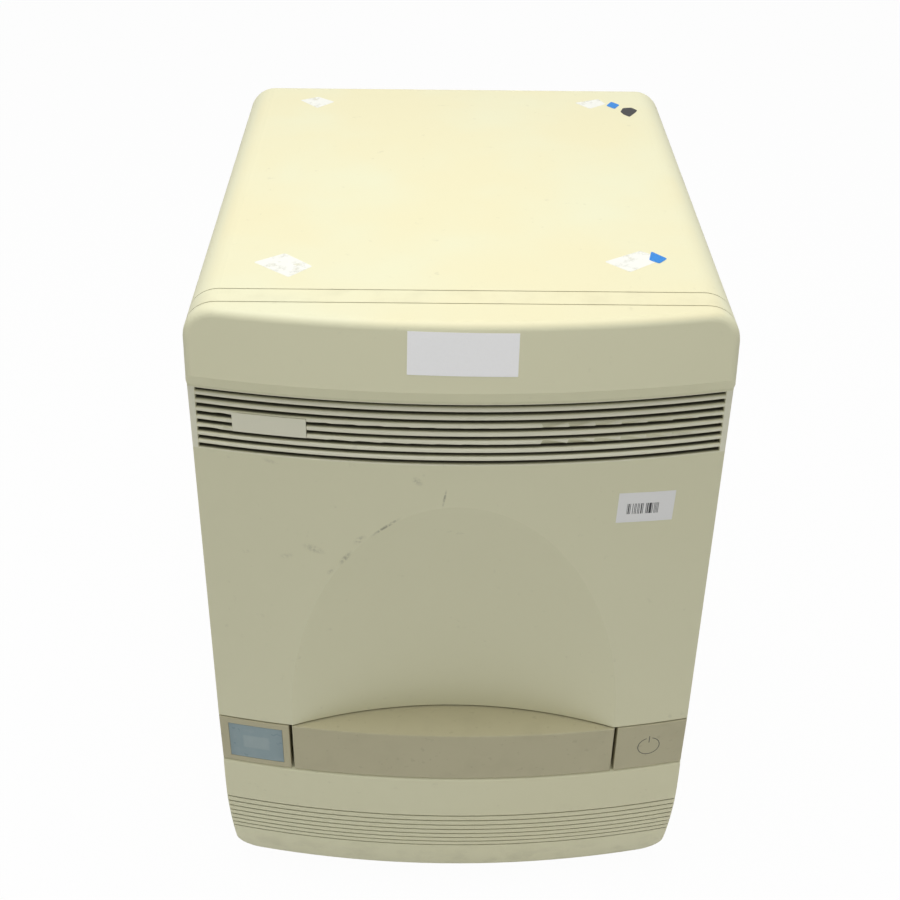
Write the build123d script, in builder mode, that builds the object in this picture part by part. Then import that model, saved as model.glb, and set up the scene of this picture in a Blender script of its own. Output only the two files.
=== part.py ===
from build123d import *
from math import asin, cos, degrees, radians, sin, tan
import os

os.makedirs("parts", exist_ok=True)

# Bench real-time PCR instrument, in millimetres.
# +X is right as seen from the front, +Y runs to the back, +Z is up.
# The origin is the middle of the footprint, on the bench.

# Overall size
overall_width = 340.0
overall_depth = 450.0
overall_height = 490.0

# Casing: how the depth and the height are shared out
front_depth = 52.0  # foremost point of the bow to the door seam
ring_depth = 16.5  # door seam to cover seam
rear_reach = 16.5  # back of the cover to the back of the fan cowl
foot_height = 8.0
bezel_height = 114.8
row_height = 43.7
brow_height = 43.0
brow_chamfer_height = 9.5

# Casing: section and walls
wall = 3.5
row_wall = 2.5
top_corner_radius = 21.0
bottom_corner_radius = 18.0
side_taper = 2.0
taper_height = 72.0
cover_rear_radius = 17.0
seam_gap = 0.8
piece_gap = 0.4
fit_gap = 0.3
running_gap = 0.05

# Bowed front
bow_radius = overall_width * 2.3235
bow_sweep = 15.0
panel_lean = 4.1
panel_set = 3.5  # foot of the door panel behind the foremost point
brow_top_set = 26.5
brow_foot_set = 17.5
row_top_set = 3.0
row_foot_set = 2.0
bezel_swell_height = 85.0
bezel_swell_radius = 230.0
crease_radius = 6.0

# Hand scoop in the door
scoop_depth = 30.0
scoop_plan_radius = 322.0
scoop_arch_radius = 630.0
scoop_height = 194.5
scoop_sweep = 40.0

# Louvres under the brow and fine grooves in the lower bezel
louvre_count = 8
louvre_pitch = 5.8
louvre_width = 2.6
louvre_depth = 6.0
louvre_drop = 55.6  # first groove below the top of the casing
louvre_side_wall = 4.0
louvre_root = 0.12  # degrees that each rib runs into the side walls
rib_sink = 0.2
bezel_groove_count = 8
bezel_groove_pitch = 5.6
bezel_groove_width = 1.2
bezel_groove_depth = 1.6
bezel_groove_drop = 39.1
nameplate_width = 47.0
nameplate_height = 13.8
nameplate_inset = 50.5

# Front row: status panel, tray front and power button
tray_front_width = 232.6
row_gap = 2.3
row_edge_radius = 0.8
window_lap = 3.0
film_gap = 0.3
board_thickness = 1.6
plunger_reach = 6.0
window_width = 40.0
window_height = 33.0
window_inset = 26.3
window_depth = 0.6
film_thickness = 0.5
power_inset = 26.7
button_travel = 2.5
dimple_x = 81.5
dimple_radius = 9.2
dimple_depth = 0.9

# Door hinge and latch
hinge_inset = 2.8
hinge_set = 8.6
hinge_pin_radius = 1.5
hinge_pin_height = 12.0
hinge_plate = 3.0
hinge_boss_radius = 3.3
hinge_low_rise = 16.0
hinge_spacing = 162.0
liner_thickness = 2.0
liner_boss_radius = 4.0
latch_rise = 164.0
latch_thickness = 4.0
latch_height = 10.0
latch_pin_radius = 1.5
latch_inset = 18.0
latch_pin_set = 12.6  # behind the door seam
latch_nose = 4.0
latch_lug = 11.0
latch_lug_depth = 13.0
latch_slot = 12.0
latch_lead = 2.0
hinge_leaf = 6.0
hinge_leaf_inset = 7.0
hinge_notch = 3.4
hinge_foot_width = 15.0
hinge_foot_height = 30.0
hinge_foot_thickness = 1.5
liner_left = 18.0
liner_boss_inset = 32.0
liner_boss_low = 14.0
liner_boss_high = 188.0
bezel_boss_inset = 29.0
bezel_boss_low = 32.0
bezel_boss_high = 88.0
bezel_lip_radius = 3.0
plunger_radius = 3.0
switch_size = 16.0
switch_depth = 12.0
key_slot_length = 9.0
key_slot_height = 3.0

cross_set = 6.5
cross_height = 34.0
dimple_drop = 2.3
catch_length = 30.0
nest_corner = 9.0
finger_radius = 10.0

# Windows in the web of the front ring
service_border = 30.0
service_foot = 195.0
service_top_border = 35.0
lower_window_border = 40.0
lower_window_height = 76.0
lower_window_middle = 68.0

# Base and chassis
pan_thickness = 2.0
pan_inset = 20.0
foot_inset = 45.0
foot_front_set = 75.0
pan_wall_height = 20.0
foot_radius = 14.0
chassis_half_width = 118.0
chassis_thickness = 3.0
chassis_top = 300.0
chassis_front_gap = 7.0
chassis_rear_gap = 10.0
deck_height = 200.0
deck_thickness = 4.0
deck_rear_set = 130.0  # behind the middle of the block
chassis_shoulder = 125.0
chassis_flange = 14.0
cable_hole_radius = 15.0
shelf_margin = 6.0

# Tray and its slides
tray_travel = 200.0
arm_half_width = 107.5
arm_thickness = 3.0
arm_bottom = 128.0
arm_top = 150.0
arm_rear_set = 170.0
tray_plate_height = 134.0
tray_plate_thickness = 4.0
rail_middle = 139.0
rail_outer_height = 16.0
rail_outer_depth = 6.0
rail_sheet = 1.5
rail_gap = 0.4

# Sample block, its cooling and the microplate that it takes
block_set = 155.0  # behind the foremost point
plate_length = 127.76
plate_width = 85.48
nest_gap = 0.4
nest_rim = 8.0
nest_depth = 4.0
well_pitch = 9.0
well_columns = 12
well_rows = 8
well_radius = 2.7
well_depth = 14.0
block_length = 116.0
block_width = 80.0
block_base = 6.4
block_top = 118.0
peltier_thickness = 3.6
peltier_count = 3
sink_base = 6.0
sink_length = 132.0
sink_width = 108.0
fin_count = 17
fin_thickness = 1.6
fin_height = 43.0

# Heated cover
cover_travel = 14.0
cover_plate_thickness = 10.0
cover_plate_bottom = 166.0
cover_margin = 4.0
carrier_thickness = 6.0
carrier_half_length = 90.0
carrier_front_set = 62.0
carrier_rear_set = 94.0
rod_radius = 3.0
rod_x = 80.0
rod_set = 52.0
rod_bottom = 156.0
screw_radius = 4.0
screw_set = 82.0
motor_size = 42.0
motor_height = 44.0
shaft_seat = 10.0

# Optics
tower_half_width = 72.0
tower_half_depth = 56.0
tower_top = 396.0
tower_wall = 4.0
lens_height = 236.0
lens_thickness = 3.0
splitter_height = 330.0
splitter_half_length = 66.0
splitter_thickness = 2.0
window_radius = 22.0
filter_radius = 24.0
housing_half_width = 35.0
housing_height = 70.0
housing_depth = 34.0
lamp_radius = 25.0
lamp_length = 28.0
lamp_neck = 7.0
lamp_wall = 2.0
wheel_radius = 62.0
wheel_pitch_radius = 44.0
wheel_thickness = 4.0
wheel_rise = 3.0
wheel_filter_radius = 12.5
wheel_filter_count = 5
mount_plate_rise = 16.0
mount_plate_thickness = 4.0
camera_lens_radius = 17.0
camera_half_width = 25.0
camera_height = 44.0
camera_lens_rise = 16.0
wheel_hub_radius = 8.0
wheel_shaft_radius = 2.5
wheel_motor_size = 28.0
lever_rise = 22.0
lever_length = 36.0
lever_width = 8.0
lever_thickness = 3.0
lever_knob = 6.0
lever_pin_radius = 2.0

# Cooling fans
block_fan_size = 92.0
exhaust_fan_size = 119.0
fan_depth = 25.0
fan_hub_share = 0.2
fan_strut = 4.0
fan_screw_radius = 2.2
fan_axle_radius = 2.0
fan_blades = 7
fan_pitch = 35.0
fan_blade_chord = 14.0
fan_blade_thickness = 1.6
exhaust_drop = 140.0
cowl_margin = 4.0
cowl_wall = 2.5
cowl_slot = 5.0
cowl_pitch = 9.0

# Rear panel and its connectors
rear_sheet = 2.0
rear_rim = 30.0
rear_lap = 7.0
inlet_x = -90.0
inlet_rise = 44.0
usb_x = inlet_x
usb_rise = 96.0
fuse_x = -30.0
fuse_radius = 6.5
fuse_step = 24.0
inlet_width = 28.0
inlet_tall = 21.0
inlet_depth = 24.0
inlet_flange = 3.0
socket_width = 24.4
socket_tall = 16.6
socket_depth = 18.0
usb_width = 12.0
usb_tall = 11.0
usb_depth = 16.0
vent_rise = 192.0
vent_step = 70.0
vent_pitch = 12.0
vent_columns = 3
vent_rows = 5
vent_length = 50.0
vent_slot = 5.0
cowl_slots = 12
supply_width = 180.0
supply_depth = 120.0
supply_height = 65.0
supply_gap = 43.5
board_standoff = 6.0
board_length = 150.0
board_height = 120.0
board_middle = 220.0

# Places worked out from the sizes above
half_width = overall_width / 2
front_y = -overall_depth / 2
nameplate_x = nameplate_inset - half_width
window_x = window_inset - half_width
power_x = half_width - power_inset
latch_x = half_width - latch_inset
liner_boss_x = half_width - liner_boss_inset
bezel_boss_x = half_width - bezel_boss_inset
service_width = overall_width - 2 * service_border
service_height = overall_height - service_foot - service_top_border
service_middle = service_foot + service_height / 2
lower_window_width = overall_width - 2 * lower_window_border
pan_half_width = half_width - pan_inset
block_y = front_y + block_set
deck_rear_y = block_y + deck_rear_set
arm_rear_y = block_y + arm_rear_set
carrier_front_y = block_y - carrier_front_set
carrier_rear_y = block_y + carrier_rear_set
rod_front_y = block_y - rod_set
rod_rear_y = block_y + rod_set
screw_y = block_y + screw_set
exhaust_height = overall_height - exhaust_drop
inlet_height = foot_height + inlet_rise
usb_height = foot_height + usb_rise
vent_height = foot_height + vent_rise
rear_y = overall_depth / 2
door_seam_y = front_y + front_depth
cover_seam_y = door_seam_y + ring_depth
door_back_y = door_seam_y - seam_gap / 2
ring_front_y = door_seam_y + seam_gap / 2
latch_pin_y = ring_front_y + latch_pin_set
ring_back_y = cover_seam_y - seam_gap / 2
cover_front_y = cover_seam_y + seam_gap / 2
cover_rear_y = rear_y - rear_reach
supply_y = cover_rear_y - supply_gap - supply_depth / 2
bow_centre_y = front_y + bow_radius
bezel_top = foot_height + bezel_height
row_top = bezel_top + row_height
door_bottom = row_top + seam_gap
brow_foot = overall_height - brow_height
chamfer_foot = brow_foot - brow_chamfer_height
lean_slope = tan(radians(panel_lean))
web_back_y = ring_front_y + wall
hinge_x = -half_width + hinge_inset
hinge_y = door_back_y - hinge_set
louvre_top = overall_height - louvre_drop + louvre_width / 2
louvre_span = (louvre_count - 1) * louvre_pitch + louvre_width
tray_half = tray_front_width / 2
row_inner_x = tray_half + row_gap
row_middle = bezel_top + row_height / 2
pan_floor = foot_height + pan_thickness
nest_length = plate_length + 2 * nest_gap
nest_width = plate_width + 2 * nest_gap
far = 20.0

liner_front_y = door_back_y - liner_thickness
hinge_rises = (door_bottom + hinge_low_rise, door_bottom + hinge_low_rise + hinge_spacing)
latch_z = door_bottom + latch_rise
nameplate_z = louvre_top - louvre_span / 2
sink_top = block_top - well_depth - block_base - peltier_thickness
bow_axis = Axis((0, bow_centre_y, 0), (0, 0, 1))


def bow_plane(sweep):
    """Upright plane through the bow's centre, turned sweep degrees to the left."""
    turn = radians(sweep)
    return Plane(
        origin=(0, bow_centre_y, 0),
        x_dir=(-sin(turn), -cos(turn), 0),
        z_dir=(-cos(turn), sin(turn), 0),
    )


def front_view(y):
    """Drawing plane seen from the front, at depth y. Extrusions from it run forward."""
    return Plane.XZ.offset(-y)


def bowed(y, z):
    """A point of a section through the bowed front, as radius and height."""
    return (bow_centre_y - y, z)


def panel_y(z):
    """Middle of the leaning door panel at height z."""
    return front_y + panel_set + lean_slope * (z - row_top)


def casing_outline(y, low, high, inset=0.0):
    """Casing section seen from the front, drawn in by inset and cut off at low and high."""
    with BuildSketch(front_view(y)) as outline:
        with BuildLine():
            Polyline(
                (-half_width + side_taper + inset, foot_height + inset),
                (-half_width + inset, foot_height + taper_height),
                (-half_width + inset, overall_height - inset),
                (half_width - inset, overall_height - inset),
                (half_width - inset, foot_height + taper_height),
                (half_width - side_taper - inset, foot_height + inset),
                close=True,
            )
        make_face()
        fillet(outline.vertices().group_by(Axis.Y)[-1], top_corner_radius - inset)
        fillet(outline.vertices().group_by(Axis.Y)[0], bottom_corner_radius - inset)
        with Locations((0, (low + high) / 2)):
            Rectangle(overall_width, high - low, mode=Mode.INTERSECT)
    return outline.sketch


def front_rectangle(y, centre_x, centre_z, width, height, radius=0.0):
    """Rectangle seen from the front, with round corners where radius is given."""
    with BuildSketch(front_view(y)) as outline:
        with Locations((centre_x, centre_z)):
            if radius:
                RectangleRounded(width, height, radius)
            else:
                Rectangle(width, height)
    return outline.sketch


def plan_rectangle(z, centre_x, centre_y, width, depth, radius=0.0):
    """Rectangle seen from above at height z, with round corners where radius is given."""
    with BuildSketch(Plane.XY.offset(z)) as outline:
        with Locations((centre_x, centre_y)):
            if radius:
                RectangleRounded(width, depth, radius)
            else:
                Rectangle(width, depth)
    return outline.sketch


def bow_trim(points, inset=0.0, sweep=bow_sweep, mode=Mode.INTERSECT):
    """Revolve a section of the bowed front about the centre of its bow."""
    with BuildSketch(bow_plane(sweep)) as section:
        with BuildLine():
            Polyline(*points, close=True)
        make_face()
        if inset:
            offset(amount=-inset, kind=Kind.INTERSECTION)
    revolve(section.sketch, axis=bow_axis, revolution_arc=2 * sweep, mode=mode)


def door_section():
    """Section of the door: brow, chamfer under it and leaning panel."""
    brow_slope = (brow_top_set - brow_foot_set) / brow_height
    return [
        bowed(door_back_y + far, overall_height + far),
        bowed(front_y + brow_top_set + brow_slope * far, overall_height + far),
        bowed(front_y + brow_foot_set, brow_foot),
        bowed(panel_y(chamfer_foot), chamfer_foot),
        bowed(panel_y(door_bottom - far), door_bottom - far),
        bowed(door_back_y + far, door_bottom - far),
    ]


def row_section():
    """Section of the grey row between the door and the lower bezel."""
    slope = (row_top_set - row_foot_set) / row_height
    return [
        bowed(door_back_y + far, row_top + far),
        bowed(front_y + row_top_set + slope * far, row_top + far),
        bowed(front_y + row_foot_set - slope * far, bezel_top - far),
        bowed(door_back_y + far, bezel_top - far),
    ]


def scoop(offset_out=0.0, mode=Mode.SUBTRACT):
    """Barrel that hollows the hand scoop out of the door."""
    foot_y = panel_y(row_top) + scoop_depth
    axis_y = foot_y - scoop_plan_radius
    crown = row_top + scoop_height
    low = (scoop_plan_radius, row_top)
    high = (panel_y(crown) - axis_y, crown)
    inner = high[0] - 4 * far
    turn = radians(scoop_sweep)
    plane = Plane(origin=(0, axis_y, 0), x_dir=(sin(turn), cos(turn), 0), z_dir=(cos(turn), -sin(turn), 0))
    with BuildSketch(plane) as section:
        with BuildLine():
            RadiusArc(low, high, -scoop_arch_radius)
            Polyline(high, (inner, crown), (inner, row_top), low)
        make_face()
        if offset_out:
            offset(amount=offset_out, kind=Kind.INTERSECTION)
    revolve(section.sketch, axis=Axis((0, axis_y, 0), (0, 0, 1)), revolution_arc=2 * scoop_sweep, mode=mode)


def write(piece, name):
    """Label a finished piece and write it."""
    piece.part.label = name
    export_step(piece.part, f"parts/{name}.step")


# Base pan: one bent sheet with its flanges under the edges of the cover.
with BuildPart() as base_pan:
    with BuildSketch(front_view(ring_back_y)) as pan_section:
        with Locations((0, foot_height + pan_thickness / 2)):
            Rectangle(2 * pan_half_width, pan_thickness)
        for side in (-1, 1):
            with Locations((side * (pan_half_width - pan_thickness / 2), foot_height + pan_wall_height / 2)):
                Rectangle(pan_thickness, pan_wall_height)
            flange = half_width - side_taper - wall - fit_gap - pan_half_width + pan_thickness
            flange_x = pan_half_width - pan_thickness + flange / 2
            with Locations((side * flange_x, foot_height + pan_wall_height - pan_thickness / 2)):
                Rectangle(flange, pan_thickness)
    extrude(amount=ring_back_y - cover_rear_y + cover_rear_radius + 1)
    tongue_depth = cover_rear_y - wall - rear_sheet - ring_back_y
    extrude(
        plan_rectangle(
            foot_height, 0, ring_back_y + tongue_depth / 2, 2 * (half_width - rear_rim - fit_gap), tongue_depth
        ),
        amount=pan_thickness,
    )
write(base_pan, "base_pan")

# Rubber feet
with BuildPart() as feet:
    with BuildSketch(Plane.XY) as foot_bottoms:
        with GridLocations(2 * (half_width - foot_inset), 2 * (-front_y - foot_front_set), 2, 2):
            Circle(foot_radius)
    extrude(amount=foot_height, taper=-4)
write(feet, "feet")

# Main cover: top, sides and rounded back in one moulding, open to the front and below.
with BuildPart() as main_cover:
    extrude(casing_outline(cover_front_y, foot_height, overall_height), amount=cover_front_y - cover_rear_y)
    fillet(main_cover.faces().sort_by(Axis.Y)[-1].edges(), cover_rear_radius)
    offset(amount=-wall, openings=main_cover.faces().sort_by(Axis.Y)[0])
    window_top = overall_height - rear_rim
    extrude(
        front_rectangle(cover_rear_y + far, 0, window_top / 2, overall_width - 2 * rear_rim, window_top),
        amount=2 * far,
        mode=Mode.SUBTRACT,
    )
    extrude(
        plan_rectangle(0, 0, 0, 2 * pan_half_width + 2 * fit_gap, 2 * overall_depth),
        amount=foot_height + wall + fit_gap,
        mode=Mode.SUBTRACT,
    )
write(main_cover, "main_cover")

# Front ring: the band between the two seams, with a web that carries the front pieces.
with BuildPart() as front_frame:
    extrude(casing_outline(ring_back_y, foot_height, overall_height), amount=ring_back_y - ring_front_y)
    extrude(
        casing_outline(ring_back_y, 0, 2 * overall_height, wall),
        amount=ring_back_y - web_back_y,
        mode=Mode.SUBTRACT,
    )
    web_cuts = [
        front_rectangle(web_back_y, 0, service_middle, service_width, service_height, 14),
        front_rectangle(web_back_y, 0, row_middle, tray_front_width + 2 * fit_gap, row_height),
        front_rectangle(web_back_y, 0, lower_window_middle, lower_window_width, lower_window_height, 10),
        front_rectangle(web_back_y, latch_x + latch_lead, latch_z, latch_slot, latch_height + 2),
    ]
    leaf_x = -half_width + hinge_leaf_inset
    for rise in hinge_rises:
        middle = rise + hinge_plate / 2
        slot_height = hinge_plate + 2 * piece_gap
        web_cuts.append(front_rectangle(web_back_y, leaf_x, middle, hinge_leaf + 2 * piece_gap, slot_height))
    for cut in web_cuts:
        extrude(cut, amount=wall, mode=Mode.SUBTRACT)
    with BuildSketch(front_view(web_back_y)):
        with Locations((power_x, row_middle)):
            Circle(plunger_radius + fit_gap)
    extrude(amount=wall, mode=Mode.SUBTRACT)
    lug_height = latch_lug - latch_height / 2 - fit_gap
    lug_middle_y = web_back_y + latch_lug_depth / 2
    for z in (latch_z - latch_lug, latch_z + latch_height / 2 + fit_gap):
        extrude(plan_rectangle(z, latch_x, lug_middle_y, 3 * latch_thickness, latch_lug_depth), amount=lug_height)
    with BuildSketch(Plane.XY.offset(latch_z - latch_lug)):
        with Locations((latch_x, latch_pin_y)):
            Circle(latch_pin_radius)
    extrude(amount=2 * latch_lug, mode=Mode.SUBTRACT)
write(front_frame, "front_frame")


def bezel_section(inset=0.0):
    """Section of the lower bezel, which swells forward below the row."""
    centre = bow_radius - bezel_swell_radius
    back = bow_centre_y - door_back_y - far
    with BuildSketch(bow_plane(bow_sweep)) as section:
        with Locations((centre, foot_height + bezel_swell_height)):
            Circle(bezel_swell_radius - inset)
        with Locations(((back + bow_radius) / 2, foot_height + bezel_height / 2)):
            Rectangle(bow_radius - back, 2 * bezel_height, mode=Mode.INTERSECT)
    return section.sketch


bezel_boss_points = [
    (x, foot_height + z) for x in (-bezel_boss_x, bezel_boss_x) for z in (bezel_boss_low, bezel_boss_high)
]

# Space inside the lower bezel, with its screw bosses left standing
with BuildPart() as bezel_hollow:
    extrude(casing_outline(door_back_y + 1, foot_height, bezel_top - wall, wall), amount=front_depth)
    revolve(bezel_section(wall), axis=bow_axis, revolution_arc=2 * bow_sweep, mode=Mode.INTERSECT)
    with BuildSketch(front_view(door_back_y + 1)):
        with Locations(*bezel_boss_points):
            Circle(liner_boss_radius)
    extrude(amount=front_depth, mode=Mode.SUBTRACT)

# Lower bezel: bowed shell below the front row, with fine grooves across it.
with BuildPart() as lower_bezel:
    extrude(casing_outline(door_back_y, foot_height, bezel_top), amount=front_depth)
    revolve(bezel_section(), axis=bow_axis, revolution_arc=2 * bow_sweep, mode=Mode.INTERSECT)
    fillet(lower_bezel.faces().sort_by(Axis.Z)[-1].edges().sort_by(Axis.Y)[0], bezel_lip_radius)
    add(bezel_hollow.part, mode=Mode.SUBTRACT)
    with BuildSketch(front_view(ring_front_y)):
        with Locations(*bezel_boss_points):
            Circle(liner_boss_radius)
    extrude(amount=2 * seam_gap)
    with BuildSketch(bow_plane(bow_sweep)) as bezel_grooves:
        for i in range(bezel_groove_count):
            z = bezel_top - bezel_groove_drop - i * bezel_groove_pitch
            sag = (z - foot_height - bezel_swell_height) ** 2 / (2 * bezel_swell_radius)
            with Locations((bow_radius - sag, z)):
                Rectangle(2 * bezel_groove_depth, bezel_groove_width)
    revolve(bezel_grooves.sketch, axis=bow_axis, revolution_arc=2 * bow_sweep, mode=Mode.SUBTRACT)
write(lower_bezel, "lower_bezel")

liner_boss_points = [
    (x, door_bottom + z) for x in (-liner_boss_x, liner_boss_x) for z in (liner_boss_low, liner_boss_high)
]
louvre_low = louvre_top - louvre_span


def louvre_band(depth, margin):
    """Section of the band that the louvres are sunk into."""
    return [
        bowed(panel_y(louvre_top) + depth, louvre_top + margin),
        bowed(front_y - far, louvre_top + margin),
        bowed(front_y - far, louvre_low - margin),
        bowed(panel_y(louvre_low) + depth, louvre_low - margin),
    ]


# Space inside the door, with its screw bosses, hinge bosses and the scoop's wall left standing
with BuildPart() as door_hollow:
    extrude(casing_outline(door_back_y + 1, door_bottom + wall, overall_height, wall), amount=front_depth)
    bow_trim(door_section(), inset=wall)
    scoop(wall)
    bow_trim(louvre_band(louvre_depth + wall, wall), mode=Mode.SUBTRACT)
    with BuildSketch(front_view(liner_front_y)):
        with Locations(*liner_boss_points):
            Circle(liner_boss_radius)
    extrude(amount=front_depth, mode=Mode.SUBTRACT)
    for rise in hinge_rises:
        with BuildSketch(Plane.XY.offset(rise + hinge_plate + piece_gap)):
            with Locations((hinge_x, hinge_y)):
                Circle(hinge_boss_radius)
        extrude(amount=hinge_pin_height + wall, mode=Mode.SUBTRACT)

# Access door: brow, louvres, leaning panel and hand scoop in one hollow moulding.
louvre_sweep = degrees(asin((half_width - louvre_side_wall) / (bow_centre_y - panel_y(nameplate_z))))
with BuildPart() as access_door:
    extrude(casing_outline(door_back_y, door_bottom, overall_height), amount=front_depth)
    bow_trim(door_section())
    fillet(access_door.faces().sort_by(Axis.Z)[-1].edges().sort_by(Axis.Y)[0], crease_radius)
    scoop()
    add(door_hollow.part, mode=Mode.SUBTRACT)
    bow_trim(louvre_band(louvre_depth, 0), sweep=louvre_sweep, mode=Mode.SUBTRACT)
    rib = louvre_pitch - louvre_width
    rib_sweep = louvre_sweep + louvre_root
    with BuildSketch(bow_plane(rib_sweep)) as ribs:
        for i in range(louvre_count - 1):
            z = louvre_top - louvre_width - rib / 2 - i * louvre_pitch
            crest = bow_centre_y - panel_y(z) - rib_sink - rib / 2
            root = crest - louvre_depth
            with Locations(((root + crest) / 2, z)):
                Rectangle(crest - root, rib)
            with Locations((crest, z)):
                Circle(rib / 2)
    revolve(ribs.sketch, axis=bow_axis, revolution_arc=2 * rib_sweep)
    pocket_back_y = panel_y(nameplate_z) + nameplate_x**2 / (2 * bow_radius) + louvre_depth - 1
    pocket_width = nameplate_width + 2 * fit_gap
    extrude(
        front_rectangle(pocket_back_y, nameplate_x, nameplate_z, pocket_width, nameplate_height),
        amount=3 * louvre_depth,
        mode=Mode.SUBTRACT,
    )
    for rise in hinge_rises:
        with BuildSketch(Plane.XY.offset(rise - piece_gap)):
            with Locations((hinge_x, hinge_y + (hinge_set - hinge_notch) / 2)):
                Rectangle(2 * far, hinge_set + hinge_notch)
        extrude(amount=hinge_plate + 2 * piece_gap, mode=Mode.SUBTRACT)
        with BuildSketch(Plane.XY.offset(rise)):
            with Locations((hinge_x, hinge_y)):
                Circle(hinge_pin_radius + running_gap)
        extrude(amount=hinge_plate + hinge_pin_height + piece_gap, mode=Mode.SUBTRACT)
    with BuildSketch(Plane.YZ.offset(half_width - 2 * wall)):
        with Locations((hinge_y, latch_z)):
            SlotOverall(key_slot_length, key_slot_height)
    extrude(amount=3 * wall, mode=Mode.SUBTRACT)
write(access_door, "access_door")

# Bare nameplate in its pocket among the louvres
with BuildPart() as nameplate_blank:
    extrude(
        front_rectangle(
            pocket_back_y, nameplate_x, nameplate_z, nameplate_width, nameplate_height - 2 * fit_gap
        ),
        amount=3 * louvre_depth,
    )
    bow_trim(door_section())
write(nameplate_blank, "nameplate_blank")

# Liner that closes the back of the door, with the slot that the latch hooks into
with BuildPart() as door_liner:
    extrude(
        casing_outline(door_back_y, door_bottom + wall + fit_gap, overall_height, wall + fit_gap),
        amount=liner_thickness,
    )
    liner_cuts = [
        front_rectangle(door_back_y, -half_width, overall_height / 2, 2 * liner_left, 2 * overall_height),
        front_rectangle(door_back_y, latch_x + latch_lead, latch_z, latch_slot - 2, latch_height + 2),
    ]
    for cut in liner_cuts:
        extrude(cut, amount=liner_thickness, mode=Mode.SUBTRACT)
    bow_trim(louvre_band(louvre_depth + wall + fit_gap, wall + fit_gap), mode=Mode.SUBTRACT)
write(door_liner, "door_liner")

# Hinge brackets on the web, each with a leaf that reaches into the door's edge
with BuildPart() as door_hinge_brackets:
    for rise in hinge_rises:
        leaf_back_y = web_back_y + hinge_foot_thickness
        with BuildSketch(Plane.XY.offset(rise)):
            with Locations((leaf_x, (hinge_y + leaf_back_y) / 2)):
                Rectangle(hinge_leaf, leaf_back_y - hinge_y)
            with Locations((hinge_x, hinge_y)):
                Circle(hinge_boss_radius - 0.5)
            with Locations((hinge_x, hinge_y)):
                Circle(hinge_pin_radius, mode=Mode.SUBTRACT)
        extrude(amount=hinge_plate)
        extrude(
            front_rectangle(
                leaf_back_y,
                leaf_x + (hinge_foot_width - hinge_leaf) / 2,
                rise + hinge_plate / 2,
                hinge_foot_width,
                hinge_foot_height,
            ),
            amount=hinge_foot_thickness,
        )
write(door_hinge_brackets, "door_hinge_brackets")

with BuildPart() as door_hinge_pins:
    for rise in hinge_rises:
        with BuildSketch(Plane.XY.offset(rise)):
            with Locations((hinge_x, hinge_y)):
                Circle(hinge_pin_radius)
        extrude(amount=hinge_plate + hinge_pin_height)
write(door_hinge_pins, "door_hinge_pins")

# Latch hook for the door, on its pin behind the web, drawn in its released place
latch_released = 16.0
with BuildPart() as door_latch:
    nose_reach = latch_pin_y - liner_front_y + fit_gap
    latch_turn = radians(latch_released)
    latch_plane = Plane(
        origin=(latch_x, latch_pin_y, latch_z - latch_height / 2),
        x_dir=(cos(latch_turn), sin(latch_turn), 0),
        z_dir=(0, 0, 1),
    )
    with BuildSketch(latch_plane):
        with BuildLine():
            Polyline(
                (-latch_thickness / 2, latch_thickness),
                (-latch_thickness / 2, -nose_reach),
                (-latch_thickness / 2 - latch_nose, -nose_reach),
                (-latch_thickness / 2, -nose_reach - latch_nose),
                (latch_thickness / 2, -nose_reach - latch_nose),
                (latch_thickness / 2, latch_thickness),
                close=True,
            )
        make_face()
        Circle(latch_pin_radius + running_gap, mode=Mode.SUBTRACT)
    extrude(amount=latch_height)
write(door_latch, "door_latch")

with BuildPart() as latch_pin:
    with BuildSketch(Plane.XY.offset(latch_z - latch_lug)):
        with Locations((latch_x, latch_pin_y)):
            Circle(latch_pin_radius)
    extrude(amount=2 * latch_lug)
write(latch_pin, "latch_pin")

row_low = bezel_top + piece_gap
row_high = row_top - piece_gap
row_piece_height = row_high - row_low
side_width = half_width - row_inner_x
side_x = (half_width + row_inner_x) / 2
button_back_y = ring_front_y - button_travel - piece_gap


def row_block(centre_x, width, back_y, inset=0.0):
    """One piece of the front row as a solid block with a bowed front, drawn in by inset."""
    extrude(
        front_rectangle(back_y, centre_x, row_middle, width - 2 * inset, row_piece_height - 2 * inset),
        amount=front_depth,
    )
    bow_trim(row_section(), inset=inset)


def row_bosses(centre_x, half_step, back_y, mode):
    """Pair of screw bosses behind one piece of the front row."""
    with BuildSketch(front_view(back_y)) as bosses:
        with Locations((centre_x - half_step, row_middle), (centre_x + half_step, row_middle)):
            Circle(liner_boss_radius - 1)
    extrude(bosses.sketch, amount=front_depth if mode == Mode.SUBTRACT else 2 * seam_gap, mode=mode)


with BuildPart() as status_hollow:
    row_block(-side_x, side_width, door_back_y + 1, row_wall)
    row_bosses(-side_x, side_width / 2 - 4, door_back_y + 1, Mode.SUBTRACT)

with BuildPart() as window_recess:
    extrude(front_rectangle(door_back_y, window_x, row_middle, window_width, window_height), amount=front_depth)
    bow_trim(row_section(), inset=window_depth, mode=Mode.SUBTRACT)

# Status panel, with a sunk window that lets the lamps behind it shine through
with BuildPart() as status_panel:
    row_block(-side_x, side_width, door_back_y)
    fillet(status_panel.faces().sort_by(Axis.Y)[0].edges(), row_edge_radius)
    add(status_hollow.part, mode=Mode.SUBTRACT)
    add(window_recess.part, mode=Mode.SUBTRACT)
    window_opening = front_rectangle(
        door_back_y, window_x, row_middle, window_width - 2 * window_lap, window_height - 2 * window_lap
    )
    extrude(window_opening, amount=front_depth, mode=Mode.SUBTRACT)
    row_bosses(-side_x, side_width / 2 - 4, ring_front_y, Mode.ADD)
write(status_panel, "status_panel")

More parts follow.
